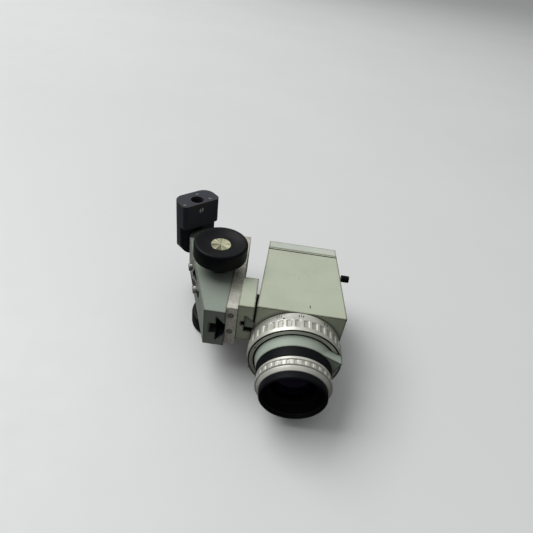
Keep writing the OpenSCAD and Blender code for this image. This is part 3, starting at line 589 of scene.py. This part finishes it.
def worn_steel():
    """Bare ground plate, greasy and stained, with painted shade in its corners."""
    f = finish_settings()
    material, s, shader = new_material("worn_steel")
    place = s.own_place()
    grain = s.group("Ground grain")
    blotch = s.ramp(s.noise(place, 75.0, 6.0, 0.7), 0.4, 0.66)
    fine = s.ramp(s.noise(place, 420.0, 4.0, 0.7), 0.42, 0.7)
    base = s.mix(blotch, (0.80, 0.79, 0.71, 1.0), (0.40, 0.385, 0.33, 1.0))
    base = s.mix(s.math("MULTIPLY", fine, 0.4), base, (0.15, 0.13, 0.10, 1.0))
    # Grimy clouds plus painted shade in corners, mixed towards dark brown
    dirt_and_shade = s.group("Grime and corner shade", amount=f.grime_and_shade, corner_reach=0.002)
    s.feed(shader.inputs["Base Color"], s.mix(dirt_and_shade.outputs["Mask"], base, (0.06, 0.05, 0.035, 1.0)))
    s.feed(shader.inputs["Roughness"], s.math("ADD", s.math("MULTIPLY", blotch, 0.22), 0.3))
    s.feed(shader.inputs["Normal"], bump(s, s.math("ADD", grain.outputs["Lines"], fine), 0.3, 0.00006))
    s.feed(shader.inputs["Metallic"], s.math("SUBTRACT", 0.75, s.math("MULTIPLY", fine, 0.5)))
    return material


def brass():
    return metal("brass", (0.62, 0.46, 0.2), 0.28)


def black_anodised():
    """Matt black of the barrel, with fine turned lines and rubbed crests."""
    f = finish_settings()
    material, s, shader = new_material("black_anodised")
    marks = s.group("Turning marks", pitch_scale=3200.0)
    wear = s.group("Edge wear", amount=f.wear * 0.7, radius=0.0003, patch_scale=300.0)
    tone = s.mix(wear.outputs["Mask"], rgba(f.black, 1.0), (0.11, 0.11, 0.12, 1.0))
    s.feed(shader.inputs["Base Color"], tone)
    s.feed(shader.inputs["Roughness"], s.math("ADD", s.math("MULTIPLY", marks.outputs["Lines"], 0.2), 0.42))
    s.feed(shader.inputs["Normal"], bump(s, marks.outputs["Lines"], 0.2, 0.00004))
    shader.inputs["Specular IOR Level"].default_value = 0.09
    return material


def glass(name, tint, rough=0.03):
    """Coated glass over a dark bore, with a little dust on it."""
    material, s, shader = new_material(name)
    place = s.own_place()
    dust = s.ramp(s.noise(place, 260.0, 5.0, 0.7), 0.55, 0.9)
    dusty = s.mix(s.math("MULTIPLY", dust, 0.06), rgba(tint), (0.3, 0.28, 0.25, 1.0))
    s.feed(shader.inputs["Base Color"], dusty)
    s.feed(shader.inputs["Roughness"], s.math("ADD", s.math("MULTIPLY", dust, 0.2), rough))
    shader.inputs["Transmission Weight"].default_value = 1.0
    shader.inputs["IOR"].default_value = 1.5
    shader.inputs["Specular IOR Level"].default_value = 0.12
    shader.inputs["Specular Tint"].default_value = (0.55, 0.38, 1.0, 1.0)
    return material


def coated_glass():
    return glass("coated_glass", (0.14, 0.10, 0.2))


def filter_glass():
    return glass("filter_glass", (0.15, 0.4, 0.12))


def matt_black():
    """Dead black lining of bores and gaps, with a little dust; in the cover's seam it is painted shade."""
    material, s, shader = new_material("matt_black")
    place = s.own_place()
    dust = s.ramp(s.noise(place, 500.0, 4.0), 0.55, 0.9)
    tone = s.mix(dust, (0.0015, 0.0014, 0.0018, 1.0), (0.009, 0.008, 0.008, 1.0))
    s.feed(shader.inputs["Base Color"], tone)
    s.feed(shader.inputs["Roughness"], s.math("ADD", s.math("MULTIPLY", dust, 0.3), 0.6))
    s.feed(shader.inputs["Normal"], bump(s, dust, 0.2, 0.00003))
    shader.inputs["Specular IOR Level"].default_value = 0.1
    return material


def mark_ink():
    """Black filling of engraved marks, chipped here and there."""
    material, s, shader = new_material("mark_ink")
    place = s.own_place()
    chips = s.ramp(s.noise(place, 2500.0, 3.0), 0.6, 0.75)
    s.feed(shader.inputs["Base Color"], s.mix(chips, (0.02, 0.02, 0.02, 1.0), (0.12, 0.12, 0.11, 1.0)))
    shader.inputs["Roughness"].default_value = 0.6
    return material


def floor_paper():
    """Pale matt table top to the camera; to every other ray it is nearly black, so it bounces almost no
    light: painted shade on the head's front and lower faces.
    """
    material, s, shader = new_material("floor_paper")
    place = s.own_place()
    cloud = s.noise(place, 2.2, 3.0)
    seen = s.mix(cloud, (0.62, 0.63, 0.635, 1.0), (0.68, 0.69, 0.695, 1.0))
    # Painted shade: only camera rays see the pale colour; bounced light finds it nearly black
    eye = s.add("ShaderNodeLightPath").outputs["Is Camera Ray"]
    s.feed(shader.inputs["Base Color"], s.mix(eye, (0.06, 0.06, 0.06, 1.0), seen))
    s.feed(shader.inputs["Roughness"], s.math("ADD", s.math("MULTIPLY", s.noise(place, 40.0, 4.0), 0.2), 0.4))
    return material


FINISHES = {
    "cream_paint": cream_paint,
    "grey_paint": grey_paint,
    "black_enamel": black_enamel,
    "black_plastic": black_plastic,
    "satin_steel": satin_steel,
    "turned_steel": turned_steel,
    "satin_chrome": satin_chrome,
    "worn_steel": worn_steel,
    "brass": brass,
    "black_anodised": black_anodised,
    "coated_glass": coated_glass,
    "filter_glass": filter_glass,
}


# ---------------------------------------------------------------- mesh helpers


def piece_from(name, bm, node, slot=None):
    """Makes a shown piece from a bmesh: it rides on its node's body and takes its slot."""
    mesh = bpy.data.meshes.new(name)
    bm.normal_update()
    bm.to_mesh(mesh)
    bm.free()
    piece = bpy.data.objects.new(name, mesh)
    bpy.context.scene.collection.objects.link(piece)
    slot = slot or SLOT_OF[node]
    mesh.materials.append(MADE[slot])
    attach(piece, BODY_OF[node])
    return piece


def smooth(piece, angle=35):
    """Shades a piece smooth, keeping edges sharper than the angle."""
    mesh = piece.data
    mesh.polygons.foreach_set("use_smooth", [True] * len(mesh.polygons))
    mesh.set_sharp_from_angle(angle=math.radians(angle))


def rounded_copy(node, width, segments=3, angle=28, clamp=True):
    """The node's own shape with every sharp edge rounded over."""
    bm = bmesh.new()
    bm.from_mesh(frame["nodes"][node].data)
    bmesh.ops.remove_doubles(bm, verts=bm.verts, dist=0.000004)
    bmesh.ops.dissolve_limit(
        bm,
        angle_limit=math.radians(0.6),
        use_dissolve_boundaries=False,
        verts=bm.verts,
        edges=bm.edges,
        delimit={"NORMAL"},
    )
    piece = piece_from(node + ".shaped", bm, node)
    piece.data.polygons.foreach_set("use_smooth", [True] * len(piece.data.polygons))
    bevel = piece.modifiers.new("Rounded edges", "BEVEL")
    bevel.width = width
    bevel.segments = segments
    bevel.limit_method = "ANGLE"
    bevel.angle_limit = math.radians(angle)
    bevel.use_clamp_overlap = clamp
    bevel.miter_outer = "MITER_ARC"
    flats = piece.modifiers.new("Flat faces", "WEIGHTED_NORMAL")
    flats.weight = 90
    apply_modifiers(piece)
    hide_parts(node)
    return piece


def apply_modifiers(piece):
    """Keeps the evaluated mesh as the piece's own."""
    bpy.context.view_layer.update()
    done = piece.evaluated_get(bpy.context.evaluated_depsgraph_get())
    mesh = bpy.data.meshes.new_from_object(done)
    piece.modifiers.clear()
    old = piece.data
    piece.data = mesh
    bpy.data.meshes.remove(old)


def filleted(profile, radius, steps=4):
    """Rounds every corner of an open or closed profile of (radius, along) points."""
    done = []
    n = len(profile)
    for i in range(n):
        p, q, r = (Vector(profile[k % n]) for k in (i - 1, i, i + 1))
        back, ahead = (p - q), (r - q)
        reach = min(radius, back.length * 0.45, ahead.length * 0.45)
        if reach < 1e-6 or back.angle(ahead) > math.radians(176):
            done.append(tuple(q))
            continue
        a, b = q + back.normalized() * reach, q + ahead.normalized() * reach
        for k in range(steps + 1):
            t = k / steps
            done.append(tuple(a * (1 - t) ** 2 + q * 2 * t * (1 - t) + b * t**2))
    return done


def revolve(bm, profile, place, steps=144, shape=None):
    """Turns a closed profile about the Z axis of place; shape(r, along, angle) may change a radius."""
    rings = []
    for k in range(steps):
        a = TAU * k / steps
        ring = []
        for r, along in profile:
            rr = shape(r, along, a) if shape else r
            ring.append(bm.verts.new(place @ Vector((rr * math.cos(a), rr * math.sin(a), along))))
        rings.append(ring)
    n = len(profile)
    for k in range(steps):
        here, there = rings[k], rings[(k + 1) % steps]
        for i in range(n):
            j = (i + 1) % n
            bm.faces.new((here[i], there[i], there[j], here[j]))
    bmesh.ops.remove_doubles(bm, verts=bm.verts, dist=0.000002)
    bmesh.ops.recalc_face_normals(bm, faces=bm.faces)


def lined(piece, inside, finish="matt_black"):
    """Gives the faces that inside(centre) picks another finish, by default the dead black lining."""
    piece.data.materials.append(MADE[finish])
    index = len(piece.data.materials) - 1
    for face in piece.data.polygons:
        if inside(face.center):
            face.material_index = index


def off_axis(point):
    """Distance from the optical axis, in millimetres."""
    return math.hypot(point.x, point.z) / MM


def turned_piece(node, profile, place, steps=144, shape=None, angle=40):
    bm = bmesh.new()
    revolve(bm, profile, place, steps, shape)
    piece = piece_from(node + ".turned", bm, node)
    smooth(piece, angle)
    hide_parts(node)
    return piece


def mm(points):
    return [(r * MM, along * MM) for r, along in points]


# ---------------------------------------------------------------- lens and rings


def optical(node):
    """Front and back of a node along the optical axis, and its outer radius, in millimetres."""
    low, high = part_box(node)
    return low.y / MM, high.y / MM, high.x / MM


def barrel_profile():
    """Black barrel: rounded rim, a relieved seat behind the cap, then anti-glare ridges."""
    y0, y1, r = optical("lens_barrel")
    _, lens_y1, lens_r = optical("front_lens")
    rear_y1 = optical("rear_lens")[1]
    seat_r, seat_y = 23.6, 3.2
    outer = [(seat_r, y0 + 0.2), (seat_r + 0.3, y0), (24.6, y0), (r, y0 + 0.9), (r, 5.7), (24, 5.7), (24, y1)]
    inner = [(14, y1), (14, rear_y1), (17, rear_y1), (17, lens_y1)]
    inner += [(lens_r, lens_y1), (lens_r, lens_y1 - 9.9)]
    ridges = []
    for k in range(4):
        rr, yy = lens_r + 0.65 * k, lens_y1 - 10.0 - 1.3 * k
        ridges += [(rr + 0.1, yy), (rr + 0.65, yy - 0.1), (rr + 0.65, yy - 1.2)]
    return outer + inner + ridges + [(22.7, seat_y), (seat_r, seat_y)]


def lens_barrel():
    y0, _, _ = optical("lens_barrel")
    piece = turned_piece("lens_barrel", filleted(mm(barrel_profile()), 0.00012, 2), OPTICAL_AXIS)
    lined(piece, lambda c: off_axis(c) < 23.5 and c.y / MM > y0 + 0.4)


def domed(node, radius, crown):
    """Polished element: a true spherical front, a flat back and a ground chamfer."""
    y0, y1, _ = optical(node)
    steps = 16
    front = []
    for k in range(steps + 1):
        r = radius * 0.985 * k / steps
        front.append((r, y0 + crown - math.sqrt(crown**2 - r**2)))
    edge = front[-1][1] + 0.35
    rear = [(radius * 0.998, edge), (radius * 0.998, y1 - 0.2), (radius - 0.3, y1), (0, y1)]
    turned_piece(node, mm(front + rear), OPTICAL_AXIS)


def glass_elements():
    domed("front_lens", 20, 55)
    domed("rear_lens", 17, 60)
    domed("focus_lens", 18, 80)


def flute_depth(angle, count, crest_share, depth):
    """Depth at an angle: flat crests, with flutes of flat floor and steep sides between."""
    phase = (angle * count / TAU) % 1.0
    across = abs(phase - 0.5) * 2
    if across > 1 - crest_share:
        return 0.0
    t = across / (1 - crest_share)
    return depth * (1 - t**6)


def fluted_ring():
    """Focus ring: plain rear band, fluted middle with stopped ends and a front bevel."""
    y0, y1, r = optical("fluted_ring")
    count = shape_settings().flutes
    start, stop = y0 + 2.6, y1 - 7.4
    lines = 22
    middle_part = [(r, start + (stop - start) * k / lines) for k in range(lines + 1)]
    outer = [(36.45, y0 + 0.15), (36.6, y0), (36.9, y0 + 0.1), (r - 0.15, y0 + 2.3)]
    rear = [(r - 0.12, stop + 0.2), (36.6, stop + 0.55), (36.5, stop + 0.9), (36.5, y1 - 0.25), (36.25, y1)]
    inner = [(31.1, y1), (31.1, 39.5), (36.4, 39.5)]
    profile = mm(outer + middle_part + rear + inner)
    flute_start, flute_stop = (start + 0.3) * MM, (stop - 0.3) * MM

    def shape(rr, along, a):
        if not flute_start < along < flute_stop or rr < (r - 0.2) * MM:
            return rr
        end = min(along - flute_start, flute_stop - along) / (0.9 * MM)
        ease = math.sin(min(1.0, end) * math.pi / 2)
        return rr - flute_depth(a, count, 0.38, 0.8 * MM) * ease

    piece = turned_piece("fluted_ring", profile, OPTICAL_AXIS, steps=count * 14, shape=shape, angle=30)
    lined(piece, lambda c: off_axis(c) < 36.43)
    # Flute floors take the darker chrome copy: painted shade in the flutes
    lined(piece, lambda c: 36.3 < off_axis(c) < r - 0.35 and flute_start < c.y < flute_stop, "shaded_flute_chrome")


def lens_ring():
    """Lock ring: bright front bevel, knurl of short flutes, a bright plain band behind."""
    y0, y1, r = optical("lens_ring")
    count = shape_settings().lock_flutes
    knurl0, knurl1 = y0 + 3.3, y0 + 7.3
    lines = 12
    outer = [(25.6, y0), (25.9, y0 + 0.05), (27.7, y0 + 2.4), (27.8, y0 + 2.7)]
    outer += [(27.75, y0 + 3.1), (r - 0.35, y0 + 3.2)]
    knurl = [(r, knurl0 + 0.25 + (knurl1 - knurl0 - 0.35) * k / lines) for k in range(lines + 1)]
    groove = [(r - 0.3, knurl1), (27.8, knurl1 + 0.15), (27.8, knurl1 + 0.75)]
    groove += [(r - 0.35, knurl1 + 0.95), (r - 0.2, knurl1 + 1.2)]
    rear = [(r - 0.2, y1 - 0.2), (r - 0.4, y1), (24.05, y1), (24.05, y0)]
    k0, k1 = (knurl0 + 0.35) * MM, (knurl1 - 0.2) * MM

    def shape(rr, along, a):
        if not k0 < along < k1 or rr < (r - 0.1) * MM:
            return rr
        end = min(along - k0, k1 - along) / (0.5 * MM)
        return rr - flute_depth(a, count, 0.42, 0.42 * MM) * math.sin(min(1.0, end) * math.pi / 2)

    profile = mm(outer + knurl + groove + rear)
    piece = turned_piece("lens_ring", profile, OPTICAL_AXIS, steps=count * 14, shape=shape, angle=30)
    # Knurl floors take the darker chrome copy: painted shade in the flutes
    lined(piece, lambda c: 26 < off_axis(c) < r - 0.22 and k0 < c.y < k1, "shaded_flute_chrome")


def plain_rings():
    """Index ring and black ring, with their edges broken."""
    y0, y1, r = optical("index_ring")
    low_r, bore_r = 31.9, 31.0
    step = 0.6
    index = [
        (bore_r, y0 + step),
        (low_r + 0.7, y0 + step),
        (low_r + 0.7, y0),
        (r - 0.6, y0),
        (r - 0.6, y0 + step),
        (r, y0 + step),
        (r, y1),
        (bore_r, y1),
    ]
    piece = turned_piece("index_ring", filleted(mm(index), 0.0001, 2), OPTICAL_AXIS)
    lined(piece, lambda c: c.y / MM > y0 + 0.2)
    y0, y1, _ = optical("black_ring")
    black = [(24, y0), (28.4, y0), (28.7, y0 + 0.3), (29.2, y1), (24, y1)]
    turned_piece("black_ring", filleted(mm(black), 0.0003, 3), OPTICAL_AXIS)


def small_optics():
    """Retainers and spacers keep their own shape with broken edges."""
    for node in ("lens_retainer", "lens_spacer", "cell_retainer", "port_ring", "port_window"):
        rounded_copy(node, 0.00015, 2)


def engraved_marks():
    """Generic strokes and dots on the focus ring's rear band, and the index dot."""
    y0, y1, _ = optical("fluted_ring")
    band_r = 36.5
    marks = bmesh.new()

    def stroke(angle, along, wide, tall):
        """Small inlaid patch that follows the band, from its centre's angle and place."""
        cols = 4
        under = 0.9975
        grid = []
        for v in (-0.5, 0.5):
            row = []
            for k in range(cols + 1):
                a = math.radians(angle) + (k / cols - 0.5) * wide / band_r
                rr = (band_r + 0.03) * MM
                row.append((rr * math.cos(a), (along + v * tall) * MM, rr * math.sin(a)))
            grid.append(row)
        for k in range(cols):
            quad = [grid[0][k], grid[0][k + 1], grid[1][k + 1], grid[1][k]]
            inlay(marks, quad, lambda p: Vector((p[0] * under, p[1], p[2] * under)))

    band = y1 - 3.2
    for centre in (118, 91, 58, 205, 330):
        for k, tall in enumerate((2.0, 1.1, 2.0)):
            stroke(centre + (k - 1) * 2.6, band, 0.75, tall)
        stroke(centre, band + 1.9, 0.5, 0.9)
    for k in range(-6, 7):
        stroke(152 + k * 2.6, band + 1.6, 0.22, 1.0 if k % 3 else 1.8)
    bmesh.ops.remove_doubles(marks, verts=marks.verts, dist=0.000001)
    bmesh.ops.recalc_face_normals(marks, faces=marks.faces)
    piece = piece_from("ring_marks", marks, "fluted_ring")
    piece.data.materials[0] = MADE["mark_ink"]

    # A dot on the band looks outwards; the index dot looks forward
    back = Vector((0, 1, 0))
    out, side = spoke(112), spoke(112 + 90)
    centre = out * (band_r + 0.02) * MM + back * (y1 - 5.5) * MM
    dot("ring_dot", "fluted_ring", centre, (side, back), 0.8, -out)
    front = optical("index_ring")[0]
    centre = spoke(161) * 34.0 * MM + back * (front - 0.02) * MM
    dot("index_dot", "index_ring", centre, (spoke(0), spoke(90)), 0.75, back)


def inlay(bm, rim, under):
    """Plug below a closed outline; under(point) gives the matching point of its floor."""
    top = [bm.verts.new(p) for p in rim]
    low = [bm.verts.new(under(p)) for p in rim]
    bm.faces.new(top)
    bm.faces.new(low[::-1])
    for i in range(len(rim)):
        j = (i + 1) % len(rim)
        bm.faces.new((top[j], top[i], low[i], low[j]))


def spoke(angle):
    """Unit vector across the optical axis, at an angle in degrees from X towards Z."""
    a = math.radians(angle)
    return Vector((math.cos(a), 0, math.sin(a)))


def dot(name, node, centre, across, size, inward):
    """Round inlaid dot in the plane of the two directions across, of a radius in millimetres."""
    bm = bmesh.new()
    points = 20
    rim = []
    for k in range(points):
        t = TAU * k / points
        rim.append(centre + (across[0] * math.cos(t) + across[1] * math.sin(t)) * size * MM)
    inlay(bm, rim, lambda p: p + inward * 0.12 * MM)
    bmesh.ops.recalc_face_normals(bm, faces=bm.faces)
    piece = piece_from(name, bm, node)
    piece.data.materials[0] = MADE["mark_ink"]


# ---------------------------------------------------------------- knobs


def knob_profile(rim, hub_end, up):
    """Dished knob with a round rim; rim and hub_end are heights, up is 1 or -1."""
    low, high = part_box("knob_top")
    r = (high.x - low.x) / 2 / MM
    thick = 15.5
    disc_pocket = 8.7
    length = abs(rim - hub_end)
    dish = []
    steps = 14
    for k in range(steps + 1):
        t = k / steps
        rr = r - 2.2 - (r - 2.2 - disc_pocket) * t
        dish.append((rr, length - 0.05 - 2.65 * math.sin(t * math.pi / 2) ** 1.25))
    inner_face = length - thick
    hub = [(3, 0), (8.5, 0), (9, 0.5), (9, inner_face + 0.4), (9.6, inner_face + 0.9)]
    back = [(r - 3, inner_face), (r - 1.3, inner_face + 0.35), (r - 0.35, inner_face + 1.2)]
    side = [(r, inner_face + 2.6), (r, length - 2.6), (r - 0.25, length - 1.3)]
    rim_edge = [(r - 0.8, length - 0.45), (r - 1.6, length - 0.05), (r - 1.9, length)]
    pocket = [(disc_pocket, length - 4.3), (3, length - 4.3)]
    points = hub + back + side + rim_edge + dish + pocket
    return mm([(rr, hub_end + up * along) for rr, along in points])


def knobs():
    axis = pinion_axis()
    for node, up in (("knob_top", 1), ("knob_bottom", -1)):
        low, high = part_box(node)
        rim, hub_end = (high.z, low.z) if up > 0 else (low.z, high.z)
        turned_piece(node, knob_profile(rim / MM, hub_end / MM, up), axis, steps=160, angle=45)
    for node, up in (("knob_top_disc", 1), ("knob_bottom_disc", -1)):
        low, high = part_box(node)
        face, back = (high.z, low.z) if up > 0 else (low.z, high.z)
        r = (high.x - low.x) / 2
        edge, pip = 0.0004, 0.0003
        pip_floor = face - up * pip
        profile = [(0, back), (r, back), (r, face - up * edge), (r - edge, face)]
        profile += [(2 * pip, face), (pip, pip_floor), (0, pip_floor)]
        turned_piece(node, profile, axis, steps=96, angle=30)


# ---------------------------------------------------------------- painted pieces


def painted_pieces():
    """Body, cover, arm, rail and nose with their edges rounded as castings are."""
    edge = shape_settings().body_edge
    rounded_copy("body_shell", edge, 3, clamp=False)
    cover = rounded_copy("rear_cover", edge, 3, clamp=False)
    cover.data.materials[0] = MADE["cover_paint"]
    arm = rounded_copy("arm_bracket", 0.0004, 3, clamp=False)
    # Painted shade: the groove that the rail runs in is blackened
    slot_shade_lining(arm, "body_rail", 0.0008)
    rounded_copy("body_rail", 0.0003, 3)
    nose = rounded_copy("nose_tube", 0.00035, 3)
    # The nose takes the paler copy of the drive paint: painted light
    nose.data.materials[0] = MADE["lit_nose_paint"]
    cover_seam()


def cover_seam():
    """Matt black strip in the joint between the body and its cover: painted shade of the seam."""
    cover_low, cover_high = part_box("rear_cover")
    inset, thick, deep = -0.12 * MM, 1.1 * MM, 1.5 * MM
    joint = cover_low.y
    bm = bmesh.new()
    rings = []
    for along in (joint - thick / 2, joint + thick / 2):
        for back in (inset, inset + deep):
            corners = ((0, 0), (1, 0), (1, 1), (0, 1))
            ring = []
            for right, top in corners:
                x = cover_high.x - back if right else cover_low.x + back
                z = cover_high.z - back if top else cover_low.z + max(back, 0.02 * MM)
                ring.append(bm.verts.new((x, along, z)))
            rings.append(ring)
    order = (rings[0], rings[2], rings[3], rings[1])
    for k in range(4):
        here, there = order[k], order[(k + 1) % 4]
        for i in range(4):
            j = (i + 1) % 4
            bm.faces.new((here[i], here[j], there[j], there[i]))
    bmesh.ops.recalc_face_normals(bm, faces=bm.faces)
    piece = piece_from("cover_seam", bm, "rear_cover", "black_enamel")
    # Painted shade: the joint is filled with matt black
    piece.data.materials[0] = MADE["matt_black"]


def slot_shade_lining(piece, inner, spread):
    """Paints the walls of the slot that the inner node runs in black, up to spread beyond its box: painted
    shade of the deep slot.
    """
    low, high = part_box(inner)
    edge = max(v.co.x for v in piece.data.vertices) - 0.0003

    def inside(c):
        return low.x - spread < c.x < edge and low.z - spread < c.z < high.z + spread

    front = min(v.co.y for v in piece.data.vertices) + 0.0008
    lined(piece, lambda c: inside(c) and c.y > front, "black_enamel")


def drive_pieces():
    housing = rounded_copy("focus_housing", shape_settings().housing_edge, 3, clamp=False)
    # Painted shade: the dovetail and rack channels are blackened
    slot_shade_lining(housing, "slide_dovetail", 0.001)
    slot_shade_lining(housing, "focus_rack", 0.001)
    rounded_copy("stand_socket", 0.0006, 3)
    rounded_copy("socket_cap", 0.0007, 3)
    edge = shape_settings().metal_edge
    for node in ("slide_dovetail", "clamp_strip", "focus_rack"):
        rounded_copy(node, edge, 2)
    plate = rounded_copy("slide_plate", edge, 2)
    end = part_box("slide_plate")[0].y + 0.0004
    lined(plate, lambda c: c.y < end, "chipped_end")
    strap = rounded_copy("side_strap", edge, 2)
    strap.data.materials[0] = MADE["dull_steel"]


def screws_and_pins():
    """Small turned metal keeps its shape with broken edges."""
    small = (
        "side_screws",
        "socket_cap_screws",
        "pillar_screw",
        "plate_end_screws",
        "arm_clamp_screw",
        "cover_screws",
        "pivot_nut",
        "pivot_pin",
        "selector_knob",
        "selector_stem",
        "stem_bush",
        "pinion_bush_top",
        "pinion_bush_bottom",
        "knob_setscrews",
    )
    for node in small:
        rounded_copy(node, 0.00014, 2)


def finish_frame_nodes():
    """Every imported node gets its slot's material, for those that stay in view."""
    for name, node in frame["nodes"].items():
        node.data.materials.clear()
        node.data.materials.append(MADE[SLOT_OF[name]])


# ---------------------------------------------------------------- stage


def camera():
    """Camera close above the table in front of the lens, looking down and a little rolled."""
    data = bpy.data.cameras.new("view_camera")
    data.lens = shape_settings().lens_length
    data.sensor_width = 36
    data.clip_start = 0.01
    eye = bpy.data.objects.new("view_camera", data)
    place = Vector((-0.0381, -0.1708, 0.2501))
    target = Vector((-0.0305, 0.1498, 0.0))
    roll = math.radians(9.2)
    turn = (target - place).to_track_quat("-Z", "Y").to_matrix().to_4x4()
    eye.matrix_world = Matrix.Translation(place) @ turn @ Matrix.Rotation(roll, 4, "Z")
    bpy.context.scene.collection.objects.link(eye)
    bpy.context.scene.camera = eye


def area_light(name, place, target, size, power, colour):
    data = bpy.data.lights.new(name, "AREA")
    data.shape = "RECTANGLE"
    data.size = size[0]
    data.size_y = size[1]
    data.energy = power
    data.color = colour
    lamp = bpy.data.objects.new(name, data)
    place, target = Vector(place), Vector(target)
    turn = (target - place).to_track_quat("-Z", "Y").to_matrix().to_4x4()
    lamp.matrix_world = Matrix.Translation(place) @ turn
    bpy.context.scene.collection.objects.link(lamp)


def floor():
    """Large flat table top that the head lies on."""
    low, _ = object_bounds()
    bm = bmesh.new()
    bmesh.ops.create_grid(bm, x_segments=8, y_segments=8, size=40.0)
    bmesh.ops.translate(bm, verts=bm.verts, vec=(0, 0, low[2] - 0.00005))
    mesh = bpy.data.meshes.new("floor")
    bm.to_mesh(mesh)
    bm.free()
    table = bpy.data.objects.new("floor", mesh)
    mesh.materials.append(MADE["floor_paper"])
    bpy.context.scene.collection.objects.link(table)
    table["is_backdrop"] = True


def studio():
    """Pale soft room light, stronger from behind and above."""
    world = bpy.data.worlds.new("studio")
    world.use_nodes = True
    s = Shading(world.node_tree)
    background = world.node_tree.nodes["Background"]
    way = s.add("ShaderNodeTexCoord").outputs["Generated"]
    behind = s.vector("DOT_PRODUCT", way, (-0.2, 0.3, 0.93)).outputs["Value"]
    glow = s.ramp(behind, 0.25, 1.0)
    s.feed(background.inputs["Color"], s.mix(glow, (0.16, 0.16, 0.16, 1.0), (0.62, 0.62, 0.62, 1.0)))
    background.inputs["Strength"].default_value = 1.0
    bpy.context.scene.world = world
    area_light("ceiling_light", (-2.9, 1.3, 4.3), (-0.02, 0.08, 0), (4.6, 3.4), 246.0, (1.0, 1.0, 0.99))
    bpy.context.scene.view_settings.view_transform = "Standard"


# ---------------------------------------------------------------- operators


class HeadPiece(bpy.types.Operator):
    """Runs its builders in turn; the operators below add only theirs."""

    bl_options = {"REGISTER", "UNDO"}
    builders = ()

    def execute(self, context):
        for build in self.builders:
            build()
        return {"FINISHED"}


def build_materials():
    build_groups()
    for make in FINISHES.values():
        make()
    cover_paint()
    lit_nose_paint()
    chipped_end()
    shaded_flute_chrome()
    dull_steel()
    mark_ink()
    matt_black()
    floor_paper()


class OPTICALHEAD_OT_materials(HeadPiece):
    """Make the finishes and the effects that they share"""

    bl_idname = "optical_head.materials"
    bl_label = "Materials"
    builders = (build_materials, finish_frame_nodes)


class OPTICALHEAD_OT_body(HeadPiece):
    """Make the painted body, cover, arm, rail and nose"""

    bl_idname = "optical_head.body"
    bl_label = "Painted body"
    builders = (painted_pieces,)


class OPTICALHEAD_OT_lens(HeadPiece):
    """Make the barrel, its glass and its rings"""

    bl_idname = "optical_head.lens"
    bl_label = "Lens and rings"
    builders = (lens_barrel, glass_elements, fluted_ring, lens_ring, plain_rings, small_optics)


class OPTICALHEAD_OT_marks(HeadPiece):
    """Engrave the focus ring and the index ring"""

    bl_idname = "optical_head.marks"
    bl_label = "Engraved marks"
    builders = (engraved_marks,)


class OPTICALHEAD_OT_knobs(HeadPiece):
    """Make the focus knobs and their discs"""

    bl_idname = "optical_head.knobs"
    bl_label = "Knobs"
    builders = (knobs,)


class OPTICALHEAD_OT_drive(HeadPiece):
    """Make the housing, slide and stand socket"""

    bl_idname = "optical_head.drive"
    bl_label = "Drive and socket"
    builders = (drive_pieces,)


class OPTICALHEAD_OT_screws(HeadPiece):
    """Make the screws, pins and bushes"""

    bl_idname = "optical_head.screws"
    bl_label = "Screws and pins"
    builders = (screws_and_pins,)


class OPTICALHEAD_OT_stage(HeadPiece):
    """Set up the camera, floor and lights"""

    bl_idname = "optical_head.stage"
    bl_label = "Stage"
    builders = (camera, floor, studio)


class OPTICALHEAD_PT_panel(bpy.types.Panel):
    """Buttons for every step, in building order"""

    bl_idname = "OPTICALHEAD_PT_panel"
    bl_label = "Optical camera head"
    bl_space_type = "VIEW_3D"
    bl_region_type = "UI"
    bl_category = "Optical Head"

    def draw(self, context):
        layout = self.layout
        for settings in (context.scene.head_finish, context.scene.head_shape):
            box = layout.box()
            for name in settings.bl_rna.properties.keys():
                if name not in ("rna_type", "name"):
                    box.prop(settings, name)
        for step in STEPS:
            layout.operator(step.bl_idname)


STEPS = (
    OPTICALHEAD_OT_materials,
    OPTICALHEAD_OT_body,
    OPTICALHEAD_OT_lens,
    OPTICALHEAD_OT_marks,
    OPTICALHEAD_OT_knobs,
    OPTICALHEAD_OT_drive,
    OPTICALHEAD_OT_screws,
    OPTICALHEAD_OT_stage,
)
CLASSES = (HeadFinish, HeadShape, *STEPS, OPTICALHEAD_PT_panel)


def register():
    for cls in CLASSES:
        bpy.utils.register_class(cls)
    bpy.types.Scene.head_finish = bpy.props.PointerProperty(type=HeadFinish)
    bpy.types.Scene.head_shape = bpy.props.PointerProperty(type=HeadShape)


def unregister():
    del bpy.types.Scene.head_shape
    del bpy.types.Scene.head_finish
    for cls in reversed(CLASSES):
        bpy.utils.unregister_class(cls)


def main():
    register()
    bpy.ops.optical_head.materials()
    bpy.ops.optical_head.body()
    bpy.ops.optical_head.lens()
    bpy.ops.optical_head.marks()
    bpy.ops.optical_head.knobs()
    bpy.ops.optical_head.drive()
    bpy.ops.optical_head.screws()
    bpy.ops.optical_head.stage()


if __name__ == "__main__":
    main()
